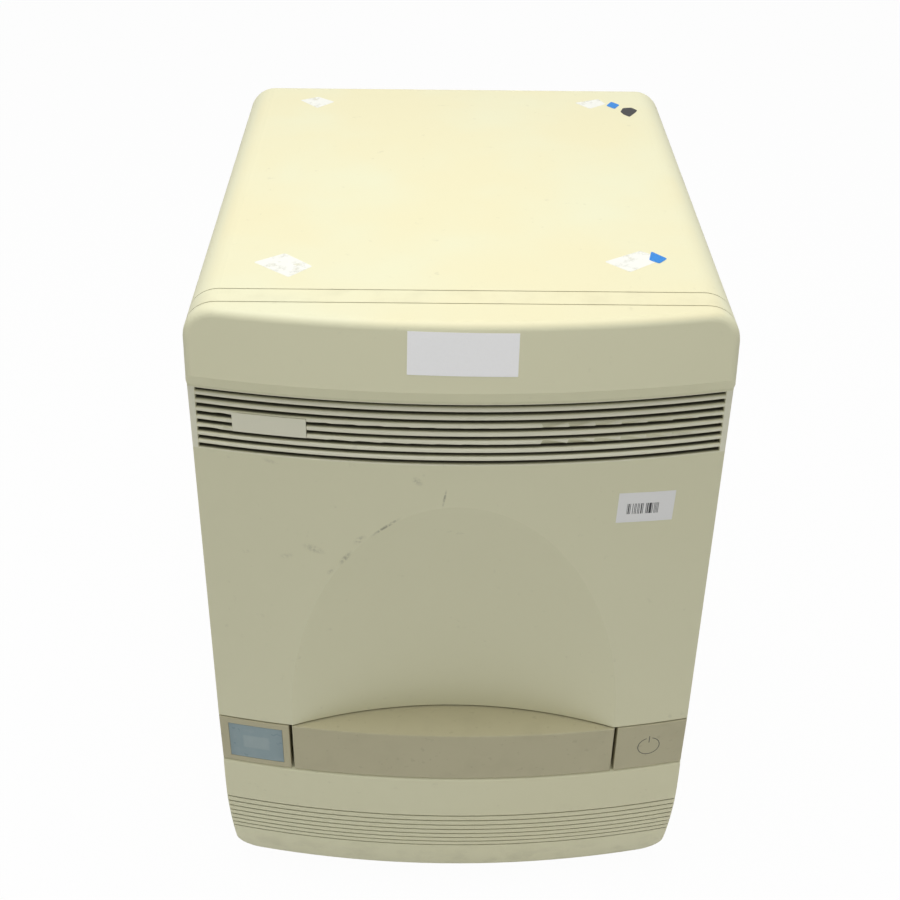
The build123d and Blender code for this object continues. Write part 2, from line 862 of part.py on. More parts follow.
with BuildPart() as status_window:
    film = front_rectangle(
        door_back_y, window_x, row_middle, window_width - 2 * film_gap, window_height - 2 * film_gap
    )
    extrude(film, amount=front_depth)
    bow_trim(row_section(), inset=window_depth - film_thickness)
    bow_trim(row_section(), inset=window_depth, mode=Mode.SUBTRACT)
write(status_window, "status_window")

# Status lamps on their small board
with BuildPart() as status_board:
    board_y = ring_front_y - board_thickness
    extrude(front_rectangle(ring_front_y, window_x, row_middle, 34, 28), amount=board_thickness)
    with BuildSketch(front_view(board_y)):
        with Locations(*[(window_x + step, row_middle) for step in (-10, 0, 10)]):
            Circle(2.5)
    extrude(amount=7)
write(status_board, "status_board")

# Power button: the whole right-hand panel of the row pushes in.
with BuildPart() as button_hollow:
    row_block(side_x, side_width, button_back_y + 1, row_wall)
    with BuildSketch(front_view(button_back_y + 1)):
        with Locations((power_x, row_middle)):
            Circle(plunger_radius + 2)
    extrude(amount=front_depth, mode=Mode.SUBTRACT)

with BuildPart() as power_button:
    row_block(side_x, side_width, button_back_y)
    fillet(power_button.faces().sort_by(Axis.Y)[0].edges(), row_edge_radius)
    add(button_hollow.part, mode=Mode.SUBTRACT)
write(power_button, "power_button")

with BuildPart() as switch_plunger:
    with BuildSketch(front_view(web_back_y + plunger_reach)):
        with Locations((power_x, row_middle)):
            Circle(plunger_radius)
    extrude(amount=web_back_y + plunger_reach - button_back_y)
write(switch_plunger, "switch_plunger")

# Tray front: the grey piece in the middle of the row, with a round dimple to push.
tray_back_y = ring_front_y - row_wall
cross_y = tray_back_y - cross_set
tray_boss_x = arm_half_width - 12
with BuildPart() as tray_hollow:
    row_block(0, tray_front_width, tray_back_y + 1, row_wall)
    with BuildSketch(front_view(cross_y)):
        with Locations((-tray_boss_x, row_middle), (0, row_middle), (tray_boss_x, row_middle)):
            Circle(liner_boss_radius)
    extrude(amount=front_depth, mode=Mode.SUBTRACT)

with BuildPart() as tray_front:
    row_block(0, tray_front_width, tray_back_y)
    fillet(tray_front.faces().sort_by(Axis.Y)[0].edges(), row_edge_radius)
    add(tray_hollow.part, mode=Mode.SUBTRACT)
    dimple_sphere = (dimple_radius**2 + dimple_depth**2) / (2 * dimple_depth)
    dimple_face_y = front_y + (row_top_set + row_foot_set) / 2 + dimple_x**2 / (2 * bow_radius)
    with Locations((dimple_x, dimple_face_y - dimple_sphere + dimple_depth, row_middle - dimple_drop)):
        Sphere(dimple_sphere, mode=Mode.SUBTRACT)
write(tray_front, "tray_front")

# Tray carriage: cross plate behind the front, two arms and the plate that carries the nest.
with BuildPart() as tray_carriage:
    extrude(
        front_rectangle(cross_y + arm_thickness, 0, row_middle, 2 * arm_half_width, cross_height),
        amount=arm_thickness,
    )
    arm_middle = (arm_bottom + arm_top) / 2
    arm_length = arm_rear_y - cross_y
    for side in (-1, 1):
        arm_x = side * (arm_half_width - arm_thickness / 2)
        extrude(
            front_rectangle(arm_rear_y, arm_x, arm_middle, arm_thickness, arm_top - arm_bottom),
            amount=arm_length,
        )
    tray_plate_rear_y = block_y + nest_width / 2 + 2 * nest_rim
    plate_middle_y = (tray_plate_rear_y + cross_y) / 2
    plate_depth = tray_plate_rear_y - cross_y
    extrude(
        plan_rectangle(tray_plate_height, 0, plate_middle_y, 2 * arm_half_width - arm_thickness, plate_depth),
        amount=tray_plate_thickness,
    )
    extrude(
        plan_rectangle(
            tray_plate_height, 0, block_y, nest_length - nest_rim, nest_width - nest_rim, nest_rim / 2
        ),
        amount=tray_plate_thickness,
        mode=Mode.SUBTRACT,
    )
write(tray_carriage, "tray_carriage")

# Nest that the microplate drops into, with one cut corner to show which way round it goes
with BuildPart() as plate_holder:
    holder_z = tray_plate_height + tray_plate_thickness
    with BuildSketch(Plane.XY.offset(holder_z)) as nest:
        with Locations((0, block_y)):
            RectangleRounded(nest_length + 2 * nest_rim, nest_width + 2 * nest_rim, nest_rim / 2)
            Rectangle(nest_length, nest_width, mode=Mode.SUBTRACT)
        with Locations((nest_length / 2, block_y + nest_width / 2)):
            Rectangle(nest_corner, nest_corner, rotation=45)
        with Locations((0, block_y - nest_width / 2 - nest_rim)):
            Circle(finger_radius, mode=Mode.SUBTRACT)
    extrude(amount=nest_depth)
write(plate_holder, "plate_holder")

# Slides: channels on the chassis and bars on the arms
rail_rear_y = arm_rear_y
with BuildPart() as slide_rails_outer:
    with BuildSketch(front_view(rail_rear_y)):
        for side in (-1, 1):
            with Locations((side * (chassis_half_width - rail_outer_depth / 2), rail_middle)):
                Rectangle(rail_outer_depth, rail_outer_height)
            with Locations((side * (chassis_half_width - rail_outer_depth / 2 - rail_sheet), rail_middle)):
                Rectangle(rail_outer_depth, rail_outer_height - 2 * rail_sheet, mode=Mode.SUBTRACT)
    extrude(amount=rail_rear_y - ring_back_y - rail_gap)
write(slide_rails_outer, "slide_rails_outer")

with BuildPart() as slide_rails_inner:
    bar_reach = chassis_half_width - rail_sheet - rail_gap
    bar_height = rail_outer_height - 2 * rail_sheet - 2 * rail_gap
    with BuildSketch(front_view(rail_rear_y)):
        for side in (-1, 1):
            with Locations((side * (arm_half_width + bar_reach) / 2, rail_middle)):
                Rectangle(bar_reach - arm_half_width, bar_height)
            with Locations((side * bar_reach, rail_middle)):
                Circle(bar_height / 4, mode=Mode.SUBTRACT)
    extrude(amount=rail_rear_y - ring_front_y)
write(slide_rails_inner, "slide_rails_inner")

# Push catch that holds the closed tray
with BuildPart() as tray_catch:
    catch_width = chassis_half_width - arm_half_width + arm_thickness
    extrude(
        plan_rectangle(
            arm_bottom + 1,
            -chassis_half_width + catch_width / 2,
            arm_rear_y + fit_gap + catch_length / 2,
            catch_width,
            catch_length,
        ),
        amount=arm_top - arm_bottom - 2,
    )
    fillet(tray_catch.edges().filter_by(Axis.Z).group_by(Axis.X)[-1], 2)
write(tray_catch, "tray_catch")

# Chassis side plates, each with a foot flange on the base pan
chassis_front_y = ring_back_y + chassis_front_gap
chassis_rear_y = cover_rear_y - wall - rear_sheet - chassis_rear_gap
chassis_length = chassis_rear_y - chassis_front_y
for side, name in ((-1, "chassis_left"), (1, "chassis_right")):
    with BuildPart() as chassis_plate:
        with BuildSketch(Plane.YZ.offset(side * chassis_half_width)):
            with BuildLine():
                Polyline(
                    (chassis_front_y, pan_floor),
                    (chassis_rear_y, pan_floor),
                    (chassis_rear_y, chassis_shoulder),
                    (deck_rear_y, chassis_top),
                    (chassis_front_y, chassis_top),
                    close=True,
                )
            make_face()
            with Locations((chassis_rear_y - 60, chassis_shoulder / 2), (deck_rear_y - 30, chassis_top - 40)):
                Circle(cable_hole_radius, mode=Mode.SUBTRACT)
        extrude(amount=side * chassis_thickness)
        flange_middle = chassis_half_width + chassis_flange / 2
        chassis_middle_y = (chassis_front_y + chassis_rear_y) / 2
        extrude(
            plan_rectangle(pan_floor, side * flange_middle, chassis_middle_y, chassis_flange, chassis_length),
            amount=pan_thickness,
        )
    write(chassis_plate, name)

# Upper deck: carries the optics and the drive of the heated cover.
tower_front_y = block_y - tower_half_depth
tower_rear_y = block_y + tower_half_depth
tower_base = deck_height + deck_thickness
with BuildPart() as upper_deck:
    deck_middle_y = (chassis_front_y + deck_rear_y) / 2
    deck_depth = deck_rear_y - chassis_front_y
    extrude(
        plan_rectangle(deck_height, 0, deck_middle_y, 2 * chassis_half_width, deck_depth),
        amount=deck_thickness,
    )
    light_width = 2 * (tower_half_width - tower_wall)
    light_depth = 2 * (tower_half_depth - tower_wall)
    extrude(
        plan_rectangle(deck_height, 0, block_y, light_width, light_depth, tower_wall),
        amount=deck_thickness,
        mode=Mode.SUBTRACT,
    )
    with BuildSketch(Plane.XY.offset(deck_height)):
        with Locations((0, screw_y)):
            Circle(screw_radius + 1)
    extrude(amount=deck_thickness, mode=Mode.SUBTRACT)
write(upper_deck, "upper_deck")

# Block frame: shelf between the side plates that the heat sink hangs in.
with BuildPart() as block_frame:
    shelf_z = sink_top - sink_base - chassis_thickness
    shelf_depth = sink_width + 2 * shelf_margin
    extrude(plan_rectangle(shelf_z, 0, block_y, 2 * chassis_half_width, shelf_depth), amount=chassis_thickness)
    extrude(
        plan_rectangle(
            shelf_z, 0, block_y, sink_length - 2 * shelf_margin, sink_width - 2 * shelf_margin
        ),
        amount=chassis_thickness,
        mode=Mode.SUBTRACT,
    )
write(block_frame, "block_frame")

with BuildPart() as heat_sink:
    extrude(plan_rectangle(sink_top - sink_base, 0, block_y, sink_length, sink_width), amount=sink_base)
    fin_length = sink_width - 2 * shelf_margin - 2 * piece_gap
    fin_span = sink_length - 2 * shelf_margin - 2 * piece_gap
    with BuildSketch(Plane.XY.offset(sink_top - sink_base)):
        with Locations((0, block_y)):
            with GridLocations((fin_span - fin_thickness) / (fin_count - 1), 1, fin_count, 1):
                Rectangle(fin_thickness, fin_length)
    extrude(amount=-fin_height)
write(heat_sink, "heat_sink")

with BuildPart() as peltier_modules:
    with BuildSketch(Plane.XY.offset(sink_top)):
        with Locations((0, block_y)):
            with GridLocations(block_length / peltier_count, 1, peltier_count, 1):
                Rectangle(block_length / peltier_count - 2, block_width - 4)
    extrude(amount=peltier_thickness)
write(peltier_modules, "peltier_modules")

# Sample block, one well under each well of the microplate
with BuildPart() as sample_block:
    block_bottom = sink_top + peltier_thickness
    extrude(plan_rectangle(block_bottom, 0, block_y, block_length, block_width, 3), amount=block_base)
    extrude(
        plan_rectangle(
            block_bottom,
            0,
            block_y,
            (well_columns - 1) * well_pitch + 2 * well_radius + 3,
            (well_rows - 1) * well_pitch + 2 * well_radius + 3,
            3,
        ),
        amount=block_top - block_bottom,
    )
    with BuildSketch(Plane.XY.offset(block_top)):
        with Locations((0, block_y)):
            with GridLocations(well_pitch, well_pitch, well_columns, well_rows):
                RegularPolygon(well_radius, 8)
    extrude(amount=-well_depth, mode=Mode.SUBTRACT)
write(sample_block, "sample_block")

# Heated cover, pressed on the microplate through its carrier
with BuildPart() as heated_cover:
    extrude(
        plan_rectangle(
            cover_plate_bottom, 0, block_y, plate_length + cover_margin, plate_width + cover_margin, 4
        ),
        amount=cover_plate_thickness,
    )
    with BuildSketch(Plane.XY.offset(cover_plate_bottom)):
        with Locations((0, block_y)):
            with GridLocations(well_pitch, well_pitch, well_columns, well_rows):
                RegularPolygon(well_radius, 8)
    extrude(amount=cover_plate_thickness, mode=Mode.SUBTRACT)
write(heated_cover, "heated_cover")

rod_points = [(x, y) for x in (-rod_x, rod_x) for y in (rod_front_y, rod_rear_y)]
with BuildPart() as cover_carrier:
    carrier_z = cover_plate_bottom + cover_plate_thickness
    carrier_middle_y = (carrier_front_y + carrier_rear_y) / 2
    with BuildSketch(Plane.XY.offset(carrier_z)):
        with Locations((0, carrier_middle_y)):
            RectangleRounded(2 * carrier_half_length, carrier_rear_y - carrier_front_y, 6)
        with Locations((0, block_y)):
            Rectangle(plate_length - 3 * cover_margin, plate_width - cover_margin, mode=Mode.SUBTRACT)
        with Locations(*rod_points):
            Circle(rod_radius + running_gap, mode=Mode.SUBTRACT)
        with Locations((0, screw_y)):
            Circle(screw_radius + running_gap, mode=Mode.SUBTRACT)
    extrude(amount=carrier_thickness)
write(cover_carrier, "cover_carrier")

with BuildPart() as guide_rods:
    with BuildSketch(Plane.XY.offset(rod_bottom)):
        with Locations(*rod_points):
            Circle(rod_radius)
    extrude(amount=deck_height - rod_bottom)
write(guide_rods, "guide_rods")

with BuildPart() as lead_screw:
    with BuildSketch(Plane.XY.offset(rod_bottom)):
        with Locations((0, screw_y)):
            Circle(screw_radius)
    extrude(amount=tower_base + shaft_seat - rod_bottom)
write(lead_screw, "lead_screw")

with BuildPart() as cover_motor:
    extrude(plan_rectangle(tower_base, 0, screw_y, motor_size, motor_size, 4), amount=motor_height)
    with BuildSketch(Plane.XY.offset(tower_base)):
        with Locations((0, screw_y)):
            Circle(screw_radius + running_gap)
    extrude(amount=shaft_seat, mode=Mode.SUBTRACT)
write(cover_motor, "cover_motor")

# Optics tower: cast box over the plate, open below, with a window to the lamp and one to the camera.
with BuildPart() as optics_tower:
    tower_height = tower_top - tower_base
    extrude(
        plan_rectangle(tower_base, 0, block_y, 2 * tower_half_width, 2 * tower_half_depth, tower_wall),
        amount=tower_height,
    )
    extrude(
        plan_rectangle(tower_base, 0, block_y, light_width, light_depth),
        amount=tower_height - tower_wall,
        mode=Mode.SUBTRACT,
    )
    with BuildSketch(front_view(tower_front_y + tower_wall)):
        with Locations((0, splitter_height)):
            Circle(filter_radius)
    extrude(amount=tower_wall, mode=Mode.SUBTRACT)
    with BuildSketch(Plane.XY.offset(tower_top)):
        with Locations((0, block_y)):
            Circle(window_radius)
    extrude(amount=-tower_wall, mode=Mode.SUBTRACT)
write(optics_tower, "optics_tower")

with BuildPart() as field_lens:
    extrude(plan_rectangle(lens_height, 0, block_y, light_width, light_depth), amount=lens_thickness)
write(field_lens, "field_lens")

with BuildPart() as beam_splitter:
    slant = Plane(origin=(0, block_y, splitter_height), x_dir=(1, 0, 0), z_dir=(0, 1, 1))
    with BuildSketch(slant):
        Rectangle(light_width, 2 * splitter_half_length)
    extrude(amount=splitter_thickness)
write(beam_splitter, "beam_splitter")

with BuildPart() as excitation_filter:
    with BuildSketch(front_view(tower_front_y + tower_wall)):
        with Locations((0, splitter_height)):
            Circle(filter_radius - fit_gap / 2)
    extrude(amount=tower_wall - 1)
write(excitation_filter, "excitation_filter")

# Lamp housing in front of the tower, open towards the service window
housing_wall = tower_wall - 1
lever_z = splitter_height + lever_rise
lever_y = tower_front_y - housing_depth / 2
with BuildPart() as lamp_housing:
    extrude(
        front_rectangle(tower_front_y, 0, splitter_height, 2 * housing_half_width, housing_height, 5),
        amount=housing_depth,
    )
    extrude(
        front_rectangle(
            tower_front_y - housing_wall,
            0,
            splitter_height,
            2 * (housing_half_width - housing_wall),
            housing_height - 2 * housing_wall,
            2,
        ),
        amount=housing_depth,
        mode=Mode.SUBTRACT,
    )
    with BuildSketch(front_view(tower_front_y)):
        with Locations((0, splitter_height)):
            Circle(window_radius)
    extrude(amount=housing_wall, mode=Mode.SUBTRACT)
    with BuildSketch(Plane.YZ.offset(housing_half_width)):
        with Locations((lever_y, lever_z)):
            Circle(lever_pin_radius)
    extrude(amount=lever_thickness + 2 * fit_gap)
write(lamp_housing, "lamp_housing")

# Halogen lamp: glass cup around the burner, with its pin base in front
with BuildPart() as halogen_lamp:
    rim_y = tower_front_y - housing_wall
    tip_y = rim_y - lamp_length
    neck_y = rim_y - 0.7 * lamp_length
    cup_y = rim_y - 0.6 * lamp_length
    with BuildSketch(Plane.YZ):
        with BuildLine():
            Polyline(
                (rim_y, splitter_height + lamp_radius),
                (rim_y - lamp_wall, splitter_height + lamp_radius),
                (cup_y, splitter_height + lamp_radius / 2),
                (neck_y, splitter_height + lamp_neck),
                (tip_y, splitter_height + lamp_neck),
                (tip_y, splitter_height),
                (cup_y, splitter_height),
                (cup_y, splitter_height + lamp_neck - lamp_wall),
                (cup_y + lamp_wall, splitter_height + lamp_radius / 2 - lamp_wall),
                (rim_y, splitter_height + lamp_radius - lamp_wall),
                close=True,
            )
        make_face()
    revolve(axis=Axis((0, 0, splitter_height), (0, 1, 0)), revolution_arc=360)
write(halogen_lamp, "halogen_lamp")

with BuildPart() as lamp_lever:
    with BuildSketch(Plane.YZ.offset(housing_half_width + fit_gap)):
        with Locations((lever_y, lever_z - lever_length / 2)):
            SlotOverall(lever_length + lever_width, lever_width, rotation=90)
        with Locations((lever_y, lever_z)):
            Circle(lever_pin_radius + running_gap, mode=Mode.SUBTRACT)
    extrude(amount=lever_thickness)
    with BuildSketch(Plane.YZ.offset(housing_half_width + fit_gap + lever_thickness)):
        with Locations((lever_y, lever_z - lever_length)):
            Circle(lever_width / 2)
    extrude(amount=lever_knob)
write(lamp_lever, "lamp_lever")

# Filter wheel over the tower's top window, with its shaft up into the motor
wheel_x = wheel_pitch_radius
wheel_z = tower_top + wheel_rise
mount_z = tower_top + mount_plate_rise
mount_top = mount_z + mount_plate_thickness
with BuildPart() as filter_wheel:
    with BuildSketch(Plane.XY.offset(wheel_z)):
        with Locations((wheel_x, block_y)):
            Circle(wheel_radius)
            with PolarLocations(wheel_pitch_radius, wheel_filter_count, start_angle=180):
                Circle(wheel_filter_radius, mode=Mode.SUBTRACT)
    extrude(amount=wheel_thickness)
    for radius, top in ((wheel_hub_radius, mount_z - fit_gap), (wheel_shaft_radius, mount_top + shaft_seat)):
        with BuildSketch(Plane.XY.offset(wheel_z + wheel_thickness)):
            with Locations((wheel_x, block_y)):
                Circle(radius)
        extrude(amount=top - wheel_z - wheel_thickness)
write(filter_wheel, "filter_wheel")

with BuildPart() as emission_filters:
    with BuildSketch(Plane.XY.offset(wheel_z + 0.5)):
        with Locations((wheel_x, block_y)):
            with PolarLocations(wheel_pitch_radius, wheel_filter_count, start_angle=180):
                Circle(wheel_filter_radius - fit_gap / 2)
    extrude(amount=wheel_thickness - 1)
write(emission_filters, "emission_filters")

with BuildPart() as camera_mount:
    mount_half = tower_half_width - tower_wall / 2
    mount_depth = 2 * camera_half_width + 18
    extrude(
        plan_rectangle(mount_z, 0, block_y, 2 * mount_half, mount_depth, 3), amount=mount_plate_thickness
    )
    extrude(
        plan_rectangle(tower_top, -mount_half + tower_wall / 2, block_y, tower_wall, mount_depth - 8),
        amount=mount_plate_rise,
    )
    with BuildSketch(Plane.XY.offset(mount_z)):
        with Locations((0, block_y)):
            Circle(camera_lens_radius + fit_gap)
        with Locations((wheel_x, block_y)):
            Circle(wheel_shaft_radius + 1)
    extrude(amount=mount_plate_thickness, mode=Mode.SUBTRACT)
write(camera_mount, "camera_mount")

with BuildPart() as filter_wheel_motor:
    extrude(plan_rectangle(mount_top, wheel_x, block_y, wheel_motor_size, wheel_motor_size, 3), amount=24)
    with BuildSketch(Plane.XY.offset(mount_top)):
        with Locations((wheel_x, block_y)):
            Circle(wheel_shaft_radius + running_gap)
    extrude(amount=shaft_seat, mode=Mode.SUBTRACT)
write(filter_wheel_motor, "filter_wheel_motor")

camera_z = mount_top + camera_lens_rise
with BuildPart() as camera_lens:
    with BuildSketch(Plane.XY.offset(wheel_z + wheel_thickness + 2)):
        with Locations((0, block_y)):
            Circle(camera_lens_radius)
            Circle(camera_lens_radius - 4, mode=Mode.SUBTRACT)
    extrude(amount=camera_z - wheel_z - wheel_thickness - 2)
    with BuildSketch(Plane.XY.offset(mount_top)):
        with Locations((0, block_y)):
            Circle(camera_lens_radius + 4)
    extrude(amount=3)
write(camera_lens, "camera_lens")

with BuildPart() as camera_body:
    extrude(
        plan_rectangle(camera_z, 0, block_y, 2 * camera_half_width, 2 * camera_half_width, 4),
        amount=camera_height,
    )
write(camera_body, "camera_body")


def fan_frame(size, back_y, centre_z):
    """Square fan frame with its bore, bearing hub and four struts at the back."""
    bore = size / 2 - 2
    hub = size * fan_hub_share
    extrude(front_rectangle(back_y, 0, centre_z, size, size, 4), amount=fan_depth)
    for radius, front, amount, mode in (
        (bore, back_y, fan_depth, Mode.SUBTRACT),
        (hub, back_y, fan_strut, Mode.ADD),
    ):
        with BuildSketch(front_view(front)) as disc:
            with Locations((0, centre_z)):
                Circle(radius)
        extrude(disc.sketch, amount=amount, mode=mode)
    with BuildSketch(front_view(back_y)) as struts:
        with Locations((0, centre_z)):
            with PolarLocations(0, 2, start_angle=45, angular_range=180):
                Rectangle(2 * bore + 2, fan_strut)
    extrude(struts.sketch, amount=fan_strut)
    with BuildSketch(front_view(back_y)) as holes:
        with Locations((0, centre_z)):
            with GridLocations(size - 12, size - 12, 2, 2):
                Circle(fan_screw_radius)
            Circle(fan_axle_radius + running_gap)
    extrude(holes.sketch, amount=fan_depth, mode=Mode.SUBTRACT)


def fan_rotor(size, back_y, centre_z):
    """Hub, axle and seven pitched blades."""
    hub = size * fan_hub_share
    hub_back_y = back_y - fan_strut - fit_gap
    blade = size / 2 - 4 - hub
    for radius, start, amount in (
        (hub, hub_back_y, fan_depth - fan_strut - 2),
        (fan_axle_radius, back_y - 0.5, fan_strut + 2),
    ):
        with BuildSketch(front_view(start)) as disc:
            with Locations((0, centre_z)):
                Circle(radius)
        extrude(disc.sketch, amount=amount)
    middle_y = hub_back_y - (fan_depth - fan_strut - 2) / 2
    for i in range(fan_blades):
        angle = 360 * i / fan_blades
        reach = hub - 2 + (blade + 2) / 2
        place = Location((reach * cos(radians(angle)), middle_y, centre_z + reach * sin(radians(angle))))
        with Locations(place * Location((0, 0, 0), (0, -angle, 0)) * Location((0, 0, 0), (fan_pitch, 0, 0))):
            Box(blade + 2, fan_blade_chord, fan_blade_thickness)


block_fan_back_y = block_y + sink_width / 2 + shelf_margin + 1 + fan_depth
block_fan_z = pan_floor + block_fan_size / 2
exhaust_back_y = cover_rear_y - wall - rear_sheet
exhaust_z = exhaust_height

with BuildPart() as block_fan_frame:
    fan_frame(block_fan_size, block_fan_back_y, block_fan_z)
write(block_fan_frame, "block_fan_frame")

with BuildPart() as block_fan_rotor:
    fan_rotor(block_fan_size, block_fan_back_y, block_fan_z)
write(block_fan_rotor, "block_fan_rotor")

with BuildPart() as exhaust_fan_frame:
    fan_frame(exhaust_fan_size, exhaust_back_y, exhaust_z)
write(exhaust_fan_frame, "exhaust_fan_frame")

with BuildPart() as exhaust_fan_rotor:
    fan_rotor(exhaust_fan_size, exhaust_back_y, exhaust_z)
write(exhaust_fan_rotor, "exhaust_fan_rotor")

# Power supply on the pan, and the board on the right-hand side plate
with BuildPart() as power_supply:
    extrude(plan_rectangle(pan_floor, 0, supply_y, supply_width, supply_depth, 2), amount=supply_height)
write(power_supply, "power_supply")

with BuildPart() as control_board:
    board_x = chassis_half_width + chassis_thickness + board_standoff
    board_y = chassis_front_y + board_length / 2 + 20
    with BuildSketch(Plane.YZ.offset(board_x)):
        with Locations((board_y, board_middle)):
            Rectangle(board_length, board_height)
    extrude(amount=board_thickness)
    with BuildSketch(Plane.YZ.offset(board_x)):
        with Locations((board_y, board_middle)):
            with GridLocations(board_length - 12, board_height - 12, 2, 2):
                Circle(3)
    extrude(amount=-board_standoff)
    with BuildSketch(Plane.YZ.offset(board_x + board_thickness)):
        with Locations((board_y - 30, board_middle + 20), (board_y + 20, board_middle - 20)):
            Rectangle(28, 28)
        with Locations((board_y + 30, board_middle + 35)):
            Rectangle(40, 10)
    extrude(amount=4)
write(control_board, "control_board")

# Power switch behind the button
with BuildPart() as power_switch:
    extrude(
        front_rectangle(web_back_y + switch_depth, power_x, row_middle, switch_size, switch_size, 1.5),
        amount=switch_depth,
    )
    with BuildSketch(front_view(web_back_y)):
        with Locations((power_x, row_middle)):
            Circle(plunger_radius + running_gap)
    extrude(amount=-(plunger_reach + button_travel + fit_gap), mode=Mode.SUBTRACT)
write(power_switch, "power_switch")

# Rear panel: sheet steel behind the cover's rim, with vents and cut-outs for the connectors
panel_front_y = exhaust_back_y
panel_back_y = exhaust_back_y + rear_sheet
panel_top = overall_height - rear_rim + rear_lap
panel_half = half_width - rear_rim + rear_lap
fuse_points = [(fuse_x - fuse_step / 2, inlet_height), (fuse_x + fuse_step / 2, inlet_height)]
with BuildPart() as rear_panel:
    panel_low = foot_height + rear_rim
    with BuildSketch(front_view(panel_back_y)):
        with Locations((0, (panel_low + panel_top) / 2)):
            Rectangle(2 * panel_half, panel_top - panel_low)
        with Locations((0, (foot_height + panel_low) / 2)):
            Rectangle(2 * (half_width - rear_rim - fit_gap), panel_low - foot_height)
        with Locations((0, exhaust_z)):
            Circle(exhaust_fan_size / 2 - 3, mode=Mode.SUBTRACT)
        with Locations((inlet_x, inlet_height)):
            Rectangle(inlet_width + 2 * fit_gap, inlet_tall + 2 * fit_gap, mode=Mode.SUBTRACT)
        with Locations((usb_x, usb_height)):
            Rectangle(usb_width + 2 * fit_gap, usb_tall + 2 * fit_gap, mode=Mode.SUBTRACT)
        with Locations(*fuse_points):
            Circle(fuse_radius + fit_gap, mode=Mode.SUBTRACT)
        with Locations((0, vent_height)):
            with GridLocations(vent_step, vent_pitch, vent_columns, vent_rows):
                SlotOverall(vent_length, vent_slot, mode=Mode.SUBTRACT)
    extrude(amount=rear_sheet)
write(rear_panel, "rear_panel")

# Cowl over the exhaust fan, with a slatted face
with BuildPart() as fan_cowl:
    cowl_size = exhaust_fan_size + 2 * cowl_margin
    cowl_depth = rear_y - panel_back_y
    extrude(front_rectangle(rear_y, 0, exhaust_z, cowl_size, cowl_size, 8), amount=cowl_depth)
    fillet(fan_cowl.faces().sort_by(Axis.Y)[-1].edges(), cowl_wall)
    inside = cowl_size - 2 * cowl_wall
    extrude(
        front_rectangle(rear_y - cowl_wall, 0, exhaust_z, inside, inside, 8 - cowl_wall),
        amount=cowl_depth,
        mode=Mode.SUBTRACT,
    )
    with BuildSketch(front_view(rear_y)):
        with Locations((0, exhaust_z)):
            with GridLocations(1, cowl_pitch, 1, cowl_slots):
                Rectangle(inside - 10, cowl_slot)
    extrude(amount=cowl_wall, mode=Mode.SUBTRACT)
write(fan_cowl, "fan_cowl")

# Mains inlet with its recess and three blades
with BuildPart() as mains_inlet:
    flange_back_y = panel_back_y + inlet_flange
    extrude(front_rectangle(flange_back_y, inlet_x, inlet_height, inlet_width + 20, inlet_tall + 8, 4), amount=inlet_flange)
    extrude(front_rectangle(panel_back_y, inlet_x, inlet_height, inlet_width, inlet_tall), amount=inlet_depth)
    with BuildSketch(front_view(flange_back_y)) as inlet_mouth:
        with Locations((inlet_x, inlet_height)):
            Rectangle(socket_width, socket_tall)
        chamfer(inlet_mouth.vertices().group_by(Axis.Y)[-1], 5)
    extrude(amount=socket_depth, mode=Mode.SUBTRACT)
    with BuildSketch(front_view(flange_back_y - 2)):
        with Locations((inlet_x, inlet_height + 2), (inlet_x - 7, inlet_height - 2), (inlet_x + 7, inlet_height - 2)):
            Rectangle(2, 4)
    extrude(amount=socket_depth - 2)
write(mains_inlet, "mains_inlet")

with BuildPart() as fuse_holders:
    with BuildSketch(front_view(panel_back_y)):
        with Locations(*fuse_points):
            Circle(fuse_radius)
    extrude(amount=inlet_depth)
    with BuildSketch(front_view(panel_back_y)):
        with Locations(*fuse_points):
            Circle(fuse_radius + 2)
    extrude(amount=-inlet_flange)
write(fuse_holders, "fuse_holders")

# Square data socket
with BuildPart() as usb_port:
    extrude(front_rectangle(panel_back_y, usb_x, usb_height, usb_width, usb_tall), amount=usb_depth)
    extrude(
        front_rectangle(panel_back_y, usb_x, usb_height, usb_width - 2, usb_tall - 2),
        amount=usb_depth - 3,
        mode=Mode.SUBTRACT,
    )
    extrude(front_rectangle(panel_back_y - 1, usb_x, usb_height, 5.4, 3.2), amount=usb_depth - 2)
write(usb_port, "usb_port")
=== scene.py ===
from math import cos, pi, radians, sin

import bpy
from mathutils import Matrix, Vector


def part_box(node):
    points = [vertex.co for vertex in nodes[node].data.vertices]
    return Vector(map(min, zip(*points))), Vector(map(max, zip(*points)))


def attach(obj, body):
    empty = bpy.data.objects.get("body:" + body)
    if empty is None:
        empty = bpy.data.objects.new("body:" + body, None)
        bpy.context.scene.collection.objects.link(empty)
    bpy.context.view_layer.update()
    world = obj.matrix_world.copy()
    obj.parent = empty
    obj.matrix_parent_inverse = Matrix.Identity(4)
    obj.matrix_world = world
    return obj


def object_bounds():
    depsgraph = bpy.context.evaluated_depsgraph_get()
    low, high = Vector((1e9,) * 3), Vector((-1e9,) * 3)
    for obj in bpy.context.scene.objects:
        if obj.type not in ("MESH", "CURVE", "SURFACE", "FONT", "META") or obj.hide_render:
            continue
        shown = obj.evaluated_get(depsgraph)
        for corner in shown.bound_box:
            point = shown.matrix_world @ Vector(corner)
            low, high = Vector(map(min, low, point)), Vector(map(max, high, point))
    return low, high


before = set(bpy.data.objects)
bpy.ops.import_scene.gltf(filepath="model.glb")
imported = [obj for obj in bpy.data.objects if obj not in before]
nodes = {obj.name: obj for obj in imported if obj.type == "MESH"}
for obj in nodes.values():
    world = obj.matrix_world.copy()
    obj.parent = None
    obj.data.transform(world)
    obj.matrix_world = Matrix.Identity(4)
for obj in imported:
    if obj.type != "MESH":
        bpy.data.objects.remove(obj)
solid_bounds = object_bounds()
